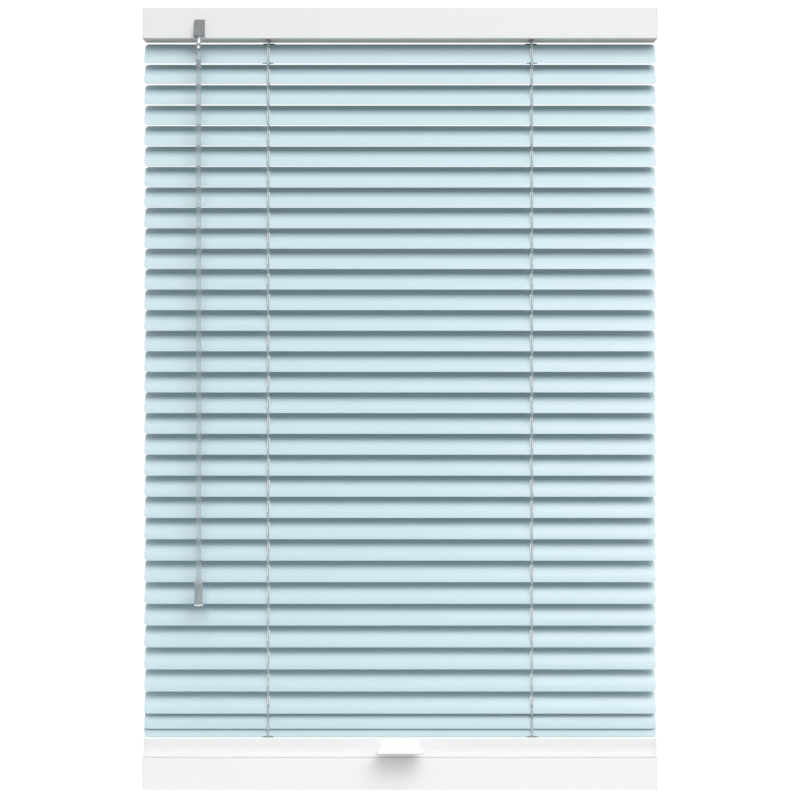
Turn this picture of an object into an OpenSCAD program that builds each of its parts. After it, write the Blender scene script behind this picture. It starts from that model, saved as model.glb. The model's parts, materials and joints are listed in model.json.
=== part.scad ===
// Cordless venetian blind on tension cords: a fixed headrail with a wand-driven worm tilter,
// curved slats hung in two ladders, a moving rail with a pull tab, and a fixed bottom profile.
// Origin: centre of the upper brackets' screw pattern, on the plane they screw to.
// +X is to the right as seen from the room, +Y points to the window, +Z is up.

/* [Blind] */
// Width of the headrail and of the bottom profile, over their end caps
blind_w = 534; // [430:1:900]
// Depth of the headrail, the moving rail and the bottom profile
rail_d = 25; // [24:0.5:32]
// Wall of the extruded rails
rail_wall = 1.3; // [0.8:0.1:2]
// Thickness of the fixed rails' end caps
cap_t = 1.5; // [1:0.1:4]
// Inset of each ladder from the end of the headrail
ladder_inset = 129.7; // [90:0.1:180]
// Inset of the wand from the left end of the headrail
wand_inset = 59.4; // [30:0.1:75]

/* [Slats] */
// Width of a slat over its chord
slat_w = 25; // [22:0.5:27]
// Thickness of a slat
slat_t = 0.4; // [0.2:0.05:0.6]
// Height of a slat's curve over its chord
slat_crown = 1.4; // [0.8:0.1:2]
// Radius of a slat's corners
slat_corner = 4; // [1:0.5:8]
// Gap from the headrail's end to the slat's end
slat_end_gap = 0.5; // [0:0.1:5]
// Tilt of the slats from level when closed
tilt_max = 60; // [50:1:65]
// Spacing of the ladder rungs
pitch = 21.42; // [18:0.01:24]
// Growth of the spacing per slat, below the evenly spaced ones
pitch_growth = 0.1156; // [0:0.0001:0.15]
// Number of evenly spaced slats at the top
even_slats = 17; // [10:1:30]
// Drop from the headrail's underside to the first slat's axis
first_drop = 13.9; // [13:0.1:30]
// Spacing of the third slat from the bottom to the next one
last_gap = 15.7; // [12:0.1:24]
// Spacing of the lowest two slats, which already lie gathered
stack_gap = 8.1; // [6:0.1:20]
// Spacing of the lowest slats once the moving rail is raised
gather_pitch = 5; // [4.8:0.1:8]
// Clearance of the lowest slat's edge over the moving rail
slat_rail_gap = 0.45; // [0.3:0.05:3]
// Length of the cord slot in a slat, across it
slot_len = 13; // [11:0.5:15]
// Width of the cord slot in a slat
slot_w = 2; // [1.6:0.1:4]

/* [Headrail] */
// Height of the headrail
head_h = 31.6; // [30:0.1:40]
// Radius of the headrail's lower front edge
head_edge_r = 0.6; // [0.5:0.1:2]
// Height of the tilt rod over the headrail's underside
rod_h = 13; // [12.5:0.1:15]
// Radius of the hexagonal tilt rod, over its corners
rod_r = 2.5; // [2:0.1:2.8]
// Length of the slot for a ladder in the headrail's floor
floor_slot_l = 19; // [17:0.5:21]
// Width of the slot for a ladder in the headrail's floor
floor_slot_w = 5.7; // [4:0.1:8]

/* [Ladders and cords] */
// Radius of one ladder string
string_r = 0.42; // [0.3:0.01:0.6]
// Half the spacing of the two strings of a ladder leg
string_x = 0.88; // [0.7:0.01:1.2]
// Radius of a tension cord
cord_r = 0.5; // [0.4:0.05:0.8]

/* [Tilter] */
// Number of teeth of the worm wheel
wheel_teeth = 12; // [12:1:12]
// Pitch radius of the worm wheel
wheel_r = 6; // [5.8:0.1:6.4]
// Pitch radius of the worm
worm_r = 2.8; // [2.5:0.1:2.9]
// Width of the worm wheel's teeth
wheel_w = 3; // [2:0.5:3.5]
// Lean of the wand's stem, forward from straight down
stem_lean = 30; // [28:1:32]
// Radius of the stem
stem_r = 2; // [1.6:0.1:2.2]
// Distance from the mesh point to the middle of the stem's neck
neck_s = 31.5; // [30:0.5:40]

/* [Wand] */
// Radius of the hexagonal wand, over its corners
wand_r = 2.85; // [2.5:0.05:4]
// Distance of the wand's lower end from the headrail's underside
wand_reach = 586.4; // [300:0.1:650]
// Drop from the headrail's underside to the wand's top
wand_top_drop = 26; // [25:0.5:32]
// Radius of the wand's grip
grip_r = 4.5; // [4:0.1:6]
// Length of the wand's grip
grip_l = 25.4; // [20:0.1:60]
// Radius of the link's wire
wire_r = 0.45; // [0.35:0.05:0.5]

/* [Moving rail] */
// Height of the moving rail
move_h = 19.5; // [18:0.1:30]
// Gap from the end of the fixed rails to the end of the moving rail
move_end_gap = 1; // [0.5:0.1:5]
// Width of the moving rail's end caps
move_cap_w = 5; // [3:0.1:10]
// Radius of the moving rail's lower front edge
move_edge_r = 1.5; // [1:0.1:4]
// Width of the pull tab at the rail
tab_back_w = 39.3; // [30:0.1:60]
// Width of the pull tab at its lip
tab_front_w = 48; // [36:0.1:70]
// Reach of the pull tab in front of the rail
tab_reach = 27; // [15:0.5:40]
// Thickness of the pull tab's lip
tab_lip = 3.2; // [2.4:0.1:5]
// Drop from the moving rail's top to the pull tab's root
tab_drop = 5.6; // [5:0.1:9]

/* [Bottom profile and brackets] */
// Height of the bottom profile
base_h = 33.4; // [28:0.1:50]
// Gap from the bottom profile to the moving rail resting over it
rest_gap = 0.35; // [0.3:0.05:1]
// Half the spacing of the two brackets of a pair
bracket_x = 180; // [170:1:190]
// Width of a bracket
bracket_w = 34; // [20:1:50]
// Thickness of a bracket's steel
bracket_t = 1.5; // [1:0.1:2]
// Room behind a rail for the screw heads
head_room = 2.2; // [2:0.1:4]
// Radius of a screw hole in a bracket
screw_r = 2.2; // [1.8:0.05:2.4]
// Spacing of a bracket's two screw holes
screw_pitch = 16; // [12:0.5:17]

/* [Hidden] */
$fn = 64;
SLATS = 34;
BAYS = [30, 31, 32];

fit_gap = 0.1; // a plug in a rail
run_gap = 0.05; // a shaft in a bore
safe_gap = 0.3; // parts that pass each other
cut = 0.5; // how far a cutter runs past a face
arc_fn = 256; // the flat arcs of the slats

ladder_x = blind_w / 2 - ladder_inset;
wand_x = -blind_w / 2 + wand_inset;
slat_l = blind_w - 2 * slat_end_gap;

// Places along Y: the rails' rear faces and the plane of the slats' axes
rear_y = -bracket_t - head_room;
axis_y = rear_y - rail_d / 2;
front_y = rear_y - rail_d;

// Places along Z
head_z = -head_h / 2;
rod_z = head_z + rod_h;

// Height of the axis of slat i, counted from 1 at the top
function spread(i) = pitch_growth / 2 * pow(max(0, i - even_slats), 2);
function even_z(i) = head_z - first_drop - pitch * (i - 1) - spread(i);
function slat_z(i) =
    i < SLATS - 1 ? even_z(i) : even_z(SLATS - 2) - last_gap - (i == SLATS ? stack_gap : 0);

move_top = slat_z(SLATS) - slat_w / 2 * sin(tilt_max) - slat_rail_gap;
move_z = move_top - move_h;
base_top = move_z - rest_gap;
base_z = base_top - base_h;
base_hole_z = base_z + base_h / 2;

// Where the ladder legs hold a slat, in the slat's own frame: just outside its edges, mid-thickness
leg_reach = slat_w / 2 + 2 * (string_r + 0.1) + slat_t;
leg_rise = slat_t / 2;
front_leg_y = -leg_reach * cos(tilt_max) - leg_rise * sin(tilt_max);
rear_leg_y = leg_reach * cos(tilt_max) - leg_rise * sin(tilt_max);
front_leg_z = -leg_reach * sin(tilt_max) + leg_rise * cos(tilt_max);
rear_leg_z = leg_reach * sin(tilt_max) + leg_rise * cos(tilt_max);

// The drum that the ladder's top loop lies over
loop_r = (rear_leg_y - front_leg_y) / 2;
loop_y = (rear_leg_y + front_leg_y) / 2;
drum_r = loop_r - string_r - abs(loop_y) - run_gap;
flange_r = drum_r + 1.6;
drum_half = string_x + string_r + 0.9;
flange_t = 1.2;
journal_r = 4;
journal_x = drum_half + flange_t + 2.8;
cheek_t = 2.4;
rod_bore = rod_r + run_gap;

// The tilter, in a frame at the mesh point with +Z down the stem and -Y to the wheel
worm_pitch = 2 * PI * wheel_r / wheel_teeth;
addendum = 0.8;
dedendum = 1.1;
worm_root = worm_r - 0.9;
worm_half = 5;
journal_s = 2.6;
top_journal_r = 1.5;
neck_r = 0.9;
neck_half = 2;
knob_l = 2.5;
stem_end = neck_s + neck_half + knob_l;
centre_dist = wheel_r + worm_r;
// Turns the frame of the stem into the blind's frame
stem_turn = 180 - stem_lean;
neck_y = axis_y - centre_dist * cos(stem_lean) - neck_s * sin(stem_lean);
neck_z = rod_z + centre_dist * sin(stem_lean) - neck_s * cos(stem_lean);
hub_half = 7.8;
house_half = 8;
// Where the stem's axis crosses the headrail's front face, over the underside
stem_cross = rod_h + centre_dist * sin(stem_lean)
    - (rail_d / 2 - centre_dist * cos(stem_lean)) / tan(stem_lean);

ring_r = stem_r + wire_r + 0.15;
wand_top = head_z - wand_top_drop;
wand_end = head_z - wand_reach;
pin_l = 5;
pin_r = 0.6;

// Outline of a rail's section with one rounded lower front corner; Y runs to the front as negative X here
module rail_outline(d, h, r) {
    translate([-d + r, 0]) square([d - r, h]);
    translate([-d, r]) square([d, h - r]);
    translate([-d + r, r]) circle(r);
}

// Lays a section, drawn as depth and height, along X between x0 and x1
module along_x(x0, x1) {
    translate([x0, 0, 0]) rotate([90, 0, 90]) linear_extrude(x1 - x0) children();
}

module at_ladders() {
    for (side = [-1, 1]) translate([side * ladder_x, 0, 0]) children();
}

// A straight round bar between two heights
module upright(r, z0, z1) {
    translate([0, 0, z0]) cylinder(r = r, h = z1 - z0);
}

// ---- Slats ----

module slat_section() {
    under_r = (pow(slat_w / 2, 2) + pow(slat_crown, 2)) / (2 * slat_crown);
    intersection() {
        translate([0, slat_crown - under_r]) difference() {
            circle(under_r + slat_t, $fn = arc_fn);
            circle(under_r, $fn = arc_fn);
        }
        translate([-slat_w / 2 - cut, -slat_crown]) square([slat_w + 2 * cut, 2 * slat_crown + 2 * slat_t]);
    }
}

module slat_plan() {
    half_l = slat_l / 2 - slat_corner;
    half_w = slat_w / 2 - slat_corner;
    square([slat_l, 2 * half_w], center = true);
    square([2 * half_l, slat_w], center = true);
    for (x = [-half_l, half_l], y = [-half_w, half_w]) translate([x, y]) circle(slat_corner);
}

module cord_slot_plan() {
    half = (slot_len - slot_w) / 2;
    square([slot_w, 2 * half], center = true);
    for (y = [-half, half]) translate([0, y]) circle(slot_w / 2);
}

module slat(i) {
    color([0.76, 0.86, 0.89])
    translate([0, axis_y, slat_z(i)]) rotate([tilt_max, 0, 0]) difference() {
        intersection() {
            along_x(-slat_l / 2 - cut, slat_l / 2 + cut) slat_section();
            translate([0, 0, -2 * cut]) linear_extrude(slat_crown + slat_t + 3 * cut) slat_plan();
        }
        at_ladders() translate([0, 0, -cut])
            linear_extrude(slat_crown + slat_t + 2 * cut) cord_slot_plan();
    }
}

// ---- Ladders and cords ----

// The two strings of one leg at both ladders, between two heights
module leg(y, z0, z1) {
    color([0.80, 0.85, 0.86])
    at_ladders() for (x = [-string_x, string_x])
        translate([x, axis_y + y, 0]) upright(string_r, z0, z1);
}

joint_gap = 0.02; // between strings that continue each other

// Front legs, from the first slat's edge to the last slat that stays put, then the gathered slats'
module ladder_front() {
    first = slat_z(1) + front_leg_z - joint_gap;
    leg(front_leg_y, slat_z(BAYS[0] - 1) + front_leg_z, first);
    low = slat_z(BAYS[len(BAYS) - 1]) + front_leg_z - joint_gap;
    leg(front_leg_y, slat_z(SLATS) + front_leg_z, low);
}

module ladder_rear() {
    leg(rear_leg_y, slat_z(SLATS) + rear_leg_z, slat_z(1) + rear_leg_z - joint_gap);
}

// The stretch of the front legs that one gathering slat hangs by
module ladder_bay(i) {
    leg(front_leg_y, slat_z(i) + front_leg_z, slat_z(i - 1) + front_leg_z - joint_gap);
}

// The loops over the drums, down to the first slat's edges
module ladder_top_loops() {
    leg(front_leg_y, slat_z(1) + front_leg_z, rod_z - joint_gap);
    leg(rear_leg_y, slat_z(1) + rear_leg_z, rod_z - joint_gap);
    color([0.80, 0.85, 0.86])
    at_ladders() for (x = [-string_x, string_x])
        translate([x, axis_y + loop_y, rod_z]) rotate([90, 0, 90])
            rotate_extrude(angle = 180) translate([loop_r, 0]) circle(string_r);
}

// The ends of the legs, from the last slat's edges into the moving rail
module ladder_rail_ends() {
    tail = 3; // past the rail's top wall
    leg(rear_leg_y, move_top - rail_wall - tail, slat_z(SLATS) + rear_leg_z - joint_gap);
    leg(front_leg_y, move_top - rail_wall - tail, slat_z(SLATS) + front_leg_z - joint_gap);
}

cradle_base = 1.7;
ferrule_r = 1.4;
ferrule_gap = 0.53; // from a ferrule to the radius of the strings' loop
ferrule_l = rod_h - rail_wall - cradle_base - loop_r - ferrule_gap;

// A cord per ladder, held by a ferrule over the cradle and another under the bottom profile's top wall
module tension_cords() {
    top = head_z + rail_wall + cradle_base;
    low = base_top - rail_wall;
    color([0.86, 0.90, 0.91])
    at_ladders() translate([0, axis_y, 0]) {
        upright(cord_r, low - ferrule_l, top + ferrule_l);
        upright(ferrule_r, top + fit_gap, top + ferrule_l);
        upright(ferrule_r, low - ferrule_l, low - fit_gap);
    }
}

// ---- Fixed rails ----

hook_in = 3; // how far a bracket's hook reaches down or up inside a rail
lip = 5;
rear_step = bracket_t + 0.4; // how much lower the hooked wall stands, so that the hook stays hidden

module headrail_section() {
    difference() {
        rail_outline(rail_d, head_h, head_edge_r);
        translate([-rail_d + rail_wall, rail_wall])
            square([rail_d - 2 * rail_wall, head_h - 2 * rail_wall]);
        translate([-rail_d + lip, head_h - 2 * rail_wall]) square([rail_d, 2 * rail_wall + cut]);
        translate([-2 * rail_wall, head_h - rear_step]) square([2 * rail_wall + cut, rear_step + cut]);
    }
}

module headrail() {
    window_gap = 1.95; // under the stem
    window_over = 5.8; // over the tilt rod
    window_z = head_z + stem_cross - stem_r / sin(stem_lean) - window_gap;
    color([0.96, 0.96, 0.96])
    difference() {
        translate([0, rear_y, head_z])
            along_x(-blind_w / 2 + cap_t, blind_w / 2 - cap_t) headrail_section();
        at_ladders() translate([-floor_slot_w / 2, axis_y - floor_slot_l / 2, head_z - cut])
            cube([floor_slot_w, floor_slot_l, rail_wall + 2 * cut]);
        // The window that the worm and the stem come out of
        translate([wand_x - worm_r - addendum - safe_gap, front_y - cut, window_z])
            cube([2 * (worm_r + addendum + safe_gap), rail_wall + 2 * cut, rod_z + window_over - window_z]);
    }
}

module base_section() {
    difference() {
        square_from_rear(rail_d, base_h);
        translate([-rail_d + rail_wall, rear_step + rail_wall])
            square([rail_d - 2 * rail_wall, base_h - 2 * rail_wall - rear_step]);
        translate([-rail_d + rail_wall, -cut]) square([rail_d - rail_wall + cut, rear_step + cut]);
        // Slit beside the rear wall for the bracket's hook
        translate([-rail_wall - bracket_t - 2 * fit_gap, -cut])
            square([bracket_t + 2 * fit_gap, rear_step + rail_wall + 2 * cut]);
    }
}

module square_from_rear(d, h) {
    translate([-d, 0]) square([d, h]);
}

module bottom_profile() {
    color([0.95, 0.95, 0.95])
    difference() {
        union() {
            translate([0, rear_y, base_z])
                along_x(-blind_w / 2 + cap_t, blind_w / 2 - cap_t) base_section();
            // Webs that join the floor to the rear wall between the bracket slits
            for (x = [-blind_w / 2 + cap_t, -web_l / 2, blind_w / 2 - cap_t - web_l])
                translate([x, rear_y - rail_wall - bracket_t - 1, base_z + rear_step])
                    cube([web_l, rail_wall + bracket_t + 1, rail_wall]);
        }
        at_ladders() translate([0, axis_y, 0])
            upright(cord_r + fit_gap, base_top - 2 * rail_wall, base_top + cut);
    }
}

web_l = 60;

module end_cap_plate(z, h, r) {
    for (side = [-1, 1])
        translate([side * (blind_w / 2 - cap_t / 2), rear_y, z])
            along_x(-cap_t / 2, cap_t / 2) rail_outline(rail_d, h, r);
}

module end_caps() {
    color([0.94, 0.94, 0.94]) {
        end_cap_plate(head_z, head_h, head_edge_r);
        end_cap_plate(base_z, base_h, head_edge_r);
    }
}

// Plate on the wall with a hook over the rail's rear wall and a pad that keeps the rail off the screw heads.
// Drawn with Y to the front as negative X, from the plate's rear face, and Z from the hooked edge down.
module bracket_section(plate_h) {
    reach = bracket_t + head_room + rail_wall;
    pad_h = 3;
    translate([-bracket_t, -plate_h]) square([bracket_t, plate_h + bracket_t]);
    translate([-reach - bracket_t - fit_gap, fit_gap]) square([reach + bracket_t + fit_gap, bracket_t]);
    translate([-reach - bracket_t - fit_gap, -hook_in]) square([bracket_t, hook_in + bracket_t]);
    translate([-bracket_t - head_room, -plate_h]) square([head_room + bracket_t, pad_h]);
}

module bracket(plate_h, hole_drop) {
    difference() {
        along_x(-bracket_w / 2, bracket_w / 2) bracket_section(plate_h);
        for (z = [-screw_pitch / 2, screw_pitch / 2])
            translate([0, cut, -hole_drop + z]) rotate([90, 0, 0])
                cylinder(r = screw_r, h = bracket_t + 2 * cut);
    }
}

module mounting_brackets() {
    plate_h = 27;
    head_hook = head_z + head_h - rear_step;
    base_hook = base_z + rear_step;
    color([0.75, 0.77, 0.79])
    for (x = [-bracket_x, bracket_x]) {
        translate([x, 0, head_hook]) bracket(plate_h, head_hook);
        translate([x, 0, base_hook]) mirror([0, 0, 1]) bracket(plate_h, base_hole_z - base_hook);
    }
}

// ---- Tilting mechanism ----

module hex_bar(r, x0, x1) {
    translate([x0, axis_y, rod_z]) rotate([0, 90, 0]) cylinder(r = r, h = x1 - x0, $fn = 6);
}

module disc(r, x0, x1) {
    translate([x0, axis_y, rod_z]) rotate([0, 90, 0]) cylinder(r = r, h = x1 - x0);
}

module tilt_rod() {
    past = 6; // beyond the wheel's hub and the last drum
    color([0.72, 0.74, 0.76])
    hex_bar(rod_r, wand_x - hub_half - past, ladder_x + journal_x + cheek_t + past);
}

module drum(x) {
    difference() {
        union() {
            disc(drum_r, x - drum_half - cut, x + drum_half + cut);
            for (side = [-1, 1]) {
                inner = x + side * drum_half;
                flange = x + side * (drum_half + flange_t);
                hub = x + side * (journal_x - run_gap);
                end = x + side * (journal_x + cheek_t + 0.6);
                disc(flange_r, min(inner, flange), max(inner, flange));
                disc(journal_r + 1, min(flange, hub), max(flange, hub));
                disc(journal_r, min(hub, end), max(hub, end));
            }
        }
        hex_bar(rod_bore, x - 2 * journal_x, x + 2 * journal_x);
    }
}

module ladder_drums() {
    color([0.90, 0.90, 0.88]) for (side = [-1, 1]) drum(side * ladder_x);
}

module cradle(x) {
    base_l = 2 * (journal_x + cheek_t + 1);
    base_w = rail_d - 2 * rail_wall - 2 * fit_gap;
    cheek_w = 14;
    cheek_over = 2.5; // over the journal
    hole_l = 2 * (string_x + string_r + safe_gap);
    hole_w = 2.4;
    difference() {
        union() {
            translate([x - base_l / 2, axis_y - base_w / 2, head_z + rail_wall])
                cube([base_l, base_w, cradle_base]);
            for (side = [-1, 1])
                translate([x + side * (journal_x + cheek_t / 2) - cheek_t / 2, axis_y - cheek_w / 2,
                    head_z + rail_wall])
                    cube([cheek_t, cheek_w, rod_z - head_z - rail_wall + journal_r + cheek_over]);
        }
        disc(journal_r + run_gap, x - base_l, x + base_l);
        translate([x, axis_y, 0])
            upright(cord_r + fit_gap, head_z, head_z + rail_wall + cradle_base + cut);
        for (y = [front_leg_y, rear_leg_y])
            translate([x - hole_l / 2, axis_y + y - hole_w / 2, head_z])
                cube([hole_l, hole_w, rail_wall + cradle_base + cut]);
    }
}

module ladder_cradles() {
    color([0.88, 0.90, 0.90]) for (side = [-1, 1]) cradle(side * ladder_x);
}

// A tooth, pointing along +Y, drawn around the wheel's axis
module tooth() {
    root = wheel_r - dedendum;
    tip = wheel_r + addendum;
    root_half = 0.85;
    flank_half = 0.7;
    tip_half = 0.34;
    polygon([[-root_half, root - 0.4], [root_half, root - 0.4], [flank_half, root + 0.3], [tip_half, tip],
        [-tip_half, tip], [-flank_half, root + 0.3]]);
}

// A gap of the wheel faces the worm when the slats are closed
module worm_wheel() {
    half = 180 / wheel_teeth;
    color([0.93, 0.88, 0.70])
    difference() {
        union() {
            translate([wand_x - wheel_w / 2, axis_y, rod_z]) rotate([90, 0, 90]) linear_extrude(wheel_w) {
                circle(wheel_r - dedendum);
                for (k = [0 : wheel_teeth - 1])
                    rotate(90 - stem_lean + 2 * half * k + half) tooth();
            }
            disc(journal_r, wand_x - hub_half, wand_x + hub_half);
        }
        hex_bar(rod_bore, wand_x - 2 * hub_half, wand_x + 2 * hub_half);
    }
}

// Puts what is drawn in the stem's frame in its place
module in_stem_frame() {
    translate([wand_x, axis_y - centre_dist * cos(stem_lean), rod_z + centre_dist * sin(stem_lean)])
        rotate([stem_turn, 0, 0]) children();
}

// Section across the worm: its core and the single thread's lobe
module worm_lobe() {
    lobe = [for (a = [-62, -46, -24, 0, 24, 46, 62])
        (abs(a) > 60 ? worm_root : abs(a) > 40 ? worm_r + 0.2 : worm_r + addendum - 0.05) * [cos(a), sin(a)]];
    polygon(concat(lobe, [for (a = [90 : 30 : 270]) worm_root * [cos(a), sin(a)]]));
}

module worm_stem() {
    color([0.85, 0.87, 0.88])
    in_stem_frame() {
        rotate(-90 - 360 * worm_half / worm_pitch) translate([0, 0, -worm_half])
            linear_extrude(2 * worm_half, twist = -720 * worm_half / worm_pitch, slices = 52, $fn = 14)
                worm_lobe();
        upright(top_journal_r, -worm_half - journal_s, -worm_half + cut);
        upright(stem_r, worm_half - cut, neck_s - neck_half);
        upright(neck_r, neck_s - neck_half - cut, neck_s + neck_half + cut);
        upright(stem_r, neck_s + neck_half, stem_end);
    }
}

module tilter_housing() {
    house_back = 9;
    house_front = rail_d / 2 - rail_wall - fit_gap;
    house_top = 13;
    color([0.90, 0.90, 0.90])
    difference() {
        translate([wand_x - house_half, axis_y - house_front, head_z + rail_wall])
            cube([2 * house_half, house_front + house_back, rod_h - rail_wall + house_top]);
        disc(wheel_r + addendum + safe_gap, wand_x - wheel_w / 2 - safe_gap, wand_x + wheel_w / 2 + safe_gap);
        disc(journal_r + run_gap, wand_x - house_half - cut, wand_x + house_half + cut);
        in_stem_frame() {
            upright(worm_r + addendum + 0.2, -worm_half - run_gap, 4 * worm_half);
            upright(top_journal_r + run_gap, -worm_half - journal_s - run_gap, 0);
        }
    }
}

// Clear wedge over the window, open behind and below. Y runs to the front as negative X in its section.
module cover_section(wall, past) {
    top = 19.2 - wall;
    foot = 9.5 - wall;
    brow = 2 - wall / 2;
    polygon([[past, -past], [-foot, -past], [-foot, 2 + wall / 4], [-brow, top], [past, top]]);
}

module wand_cover() {
    half = 5.2;
    wall = 0.8;
    color([0.75, 0.80, 0.80, 0.6])
    translate([wand_x, front_y, head_z]) difference() {
        along_x(-half, half) cover_section(0, 0);
        along_x(-half + wall, half - wall) cover_section(wall, cut);
    }
}

// ---- Wand ----

// A round wire between two points
module wire(a, b) {
    d = b - a;
    translate(a) rotate([0, acos(d.z / norm(d)), atan2(d.y, d.x)]) cylinder(r = wire_r, h = norm(d));
}

// Ring round the stem's neck, a shank past the knob, and a pin down into the wand
module wand_link() {
    side = [-ring_r, 0, 0];
    past_knob = [-ring_r, 0, -stem_r - neck_half - knob_l];
    over_wand = [0, 0, wand_top - neck_z + 1.5];
    color([0.80, 0.82, 0.83])
    translate([wand_x, neck_y, neck_z]) {
        rotate_extrude() translate([ring_r, 0]) circle(wire_r, $fn = 24);
        wire(side, past_knob);
        translate(past_knob) sphere(wire_r + 0.1, $fn = 24);
        wire(past_knob, over_wand);
        translate(over_wand) sphere(pin_r + 0.15, $fn = 24);
        upright(pin_r, over_wand.z - 1.5 - pin_l, over_wand.z);
    }
}

grip_rim_h = 2;

module wand() {
    color([0.72, 0.76, 0.77, 0.7])
    translate([wand_x, neck_y, 0]) difference() {
        translate([0, 0, wand_end + grip_rim_h])
            cylinder(r = wand_r, h = wand_top - wand_end - grip_rim_h, $fn = 6);
        upright(pin_r + run_gap, wand_top - pin_l - 1, wand_top + cut);
    }
}

module wand_grip() {
    rim_past = 0.3;
    color([0.70, 0.74, 0.75, 0.8])
    translate([wand_x, neck_y, 0]) difference() {
        union() {
            upright(grip_r, wand_end + grip_rim_h - cut, wand_end + grip_l);
            upright(grip_r + rim_past, wand_end, wand_end + grip_rim_h);
        }
        translate([0, 0, wand_end + grip_rim_h - fit_gap])
            cylinder(r = wand_r + run_gap, h = grip_l, $fn = 6);
    }
}

// ---- Moving rail ----

move_half = blind_w / 2 - move_end_gap;

module moving_rail() {
    leg_hole = string_x + string_r + safe_gap;
    color([0.95, 0.95, 0.95])
    difference() {
        translate([0, rear_y, move_z])
            along_x(-move_half + move_cap_w, move_half - move_cap_w) difference() {
                rail_outline(rail_d, move_h, move_edge_r);
                translate([-rail_wall, rail_wall]) mirror([1, 0])
                    square([rail_d - 2 * rail_wall - move_edge_r / 2, move_h - 2 * rail_wall]);
                translate([-rail_d + rail_wall, rail_wall + move_edge_r / 2])
                    square([rail_d / 2, move_h - 2 * rail_wall - move_edge_r / 2]);
            }
        at_ladders() translate([0, axis_y, 0]) {
            upright(guide_r, move_z - cut, move_top + cut);
            for (y = [front_leg_y, rear_leg_y])
                translate([0, y, 0]) upright(leg_hole, move_top - rail_wall - cut, move_top + cut);
        }
    }
}

guide_r = 2;

module rail_cord_guides() {
    rim = 0.7;
    shank = rail_wall + rim;
    color([0.85, 0.87, 0.88])
    at_ladders() translate([0, axis_y, 0]) difference() {
        union() {
            upright(guide_r - run_gap, move_top - shank, move_top + cut);
            upright(guide_r + rim, move_top, move_top + rim);
            upright(guide_r - run_gap, move_z, move_z + shank);
            upright(guide_r + rim, move_z + rail_wall, move_z + rail_wall + rim);
        }
        upright(cord_r + fit_gap, move_z - cut, move_top + shank);
    }
}

module rail_end_caps() {
    plug_l = 8;
    inset = rail_wall + fit_gap;
    color([0.93, 0.93, 0.93])
    for (side = [-1, 1]) {
        outer = side * move_half;
        inner = side * (move_half - move_cap_w);
        tip = side * (move_half - move_cap_w - plug_l);
        translate([0, rear_y, move_z]) {
            along_x(min(outer, inner), max(outer, inner)) rail_outline(rail_d, move_h, move_edge_r);
            translate([0, 0, inset + move_edge_r / 2])
                along_x(min(outer, tip), max(outer, tip)) translate([-inset, 0]) mirror([1, 0])
                    square([rail_d - 2 * inset, move_h - 2 * inset - move_edge_r / 2]);
        }
    }
}

// Flared plate with a thick lip, on a foot that clips to the rail's front
module pull_tab() {
    plate_t = 1.8;
    slope = atan(1.4 / tab_reach);
    foot_l = 7.5;
    foot_h = 5;
    corner = 1.2;
    root = move_top - tab_drop;
    color([0.97, 0.97, 0.97])
    translate([0, front_y - fit_gap / 2, root]) rotate([slope, 0, 0]) {
        translate([0, 0, -plate_t]) linear_extrude(plate_t)
            polygon([[-tab_back_w / 2, -fit_gap / 2], [tab_back_w / 2, -fit_gap / 2],
                [tab_front_w / 2, -tab_reach + tab_lip / 2], [-tab_front_w / 2, -tab_reach + tab_lip / 2]]);
        translate([-tab_front_w / 2 + corner, -tab_reach + tab_lip / 2, -tab_lip / 2]) rotate([0, 90, 0])
            cylinder(r = tab_lip / 2, h = tab_front_w - 2 * corner);
        for (x = [-1, 1]) translate([x * (tab_front_w / 2 - corner), -tab_reach + tab_lip / 2, -tab_lip])
            cylinder(r = corner, h = tab_lip);
        translate([-tab_back_w / 2 + 1, -foot_l, -foot_h]) cube([tab_back_w - 2, foot_l - 0.4, foot_h - 0.2]);
    }
}

for (i = [1 : SLATS]) slat(i);
ladder_front();
ladder_rear();
for (i = BAYS) ladder_bay(i);
ladder_top_loops();
ladder_rail_ends();
headrail();
end_caps();
mounting_brackets();
bottom_profile();
tilter_housing();
wand_cover();
ladder_cradles();
tilt_rod();
ladder_drums();
worm_wheel();
worm_stem();
wand_link();
wand();
wand_grip();
tension_cords();
moving_rail();
rail_end_caps();
rail_cord_guides();
pull_tab();
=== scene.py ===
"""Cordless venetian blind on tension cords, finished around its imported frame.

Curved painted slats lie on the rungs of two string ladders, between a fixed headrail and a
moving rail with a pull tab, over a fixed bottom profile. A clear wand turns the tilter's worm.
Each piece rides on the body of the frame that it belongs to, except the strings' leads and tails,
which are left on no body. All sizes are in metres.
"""
from __future__ import annotations

import json
import logging
import math
from collections.abc import Callable, Iterable, Sequence
from dataclasses import dataclass
from enum import Enum

import bmesh
import bpy
from mathutils import Matrix, Vector

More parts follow.
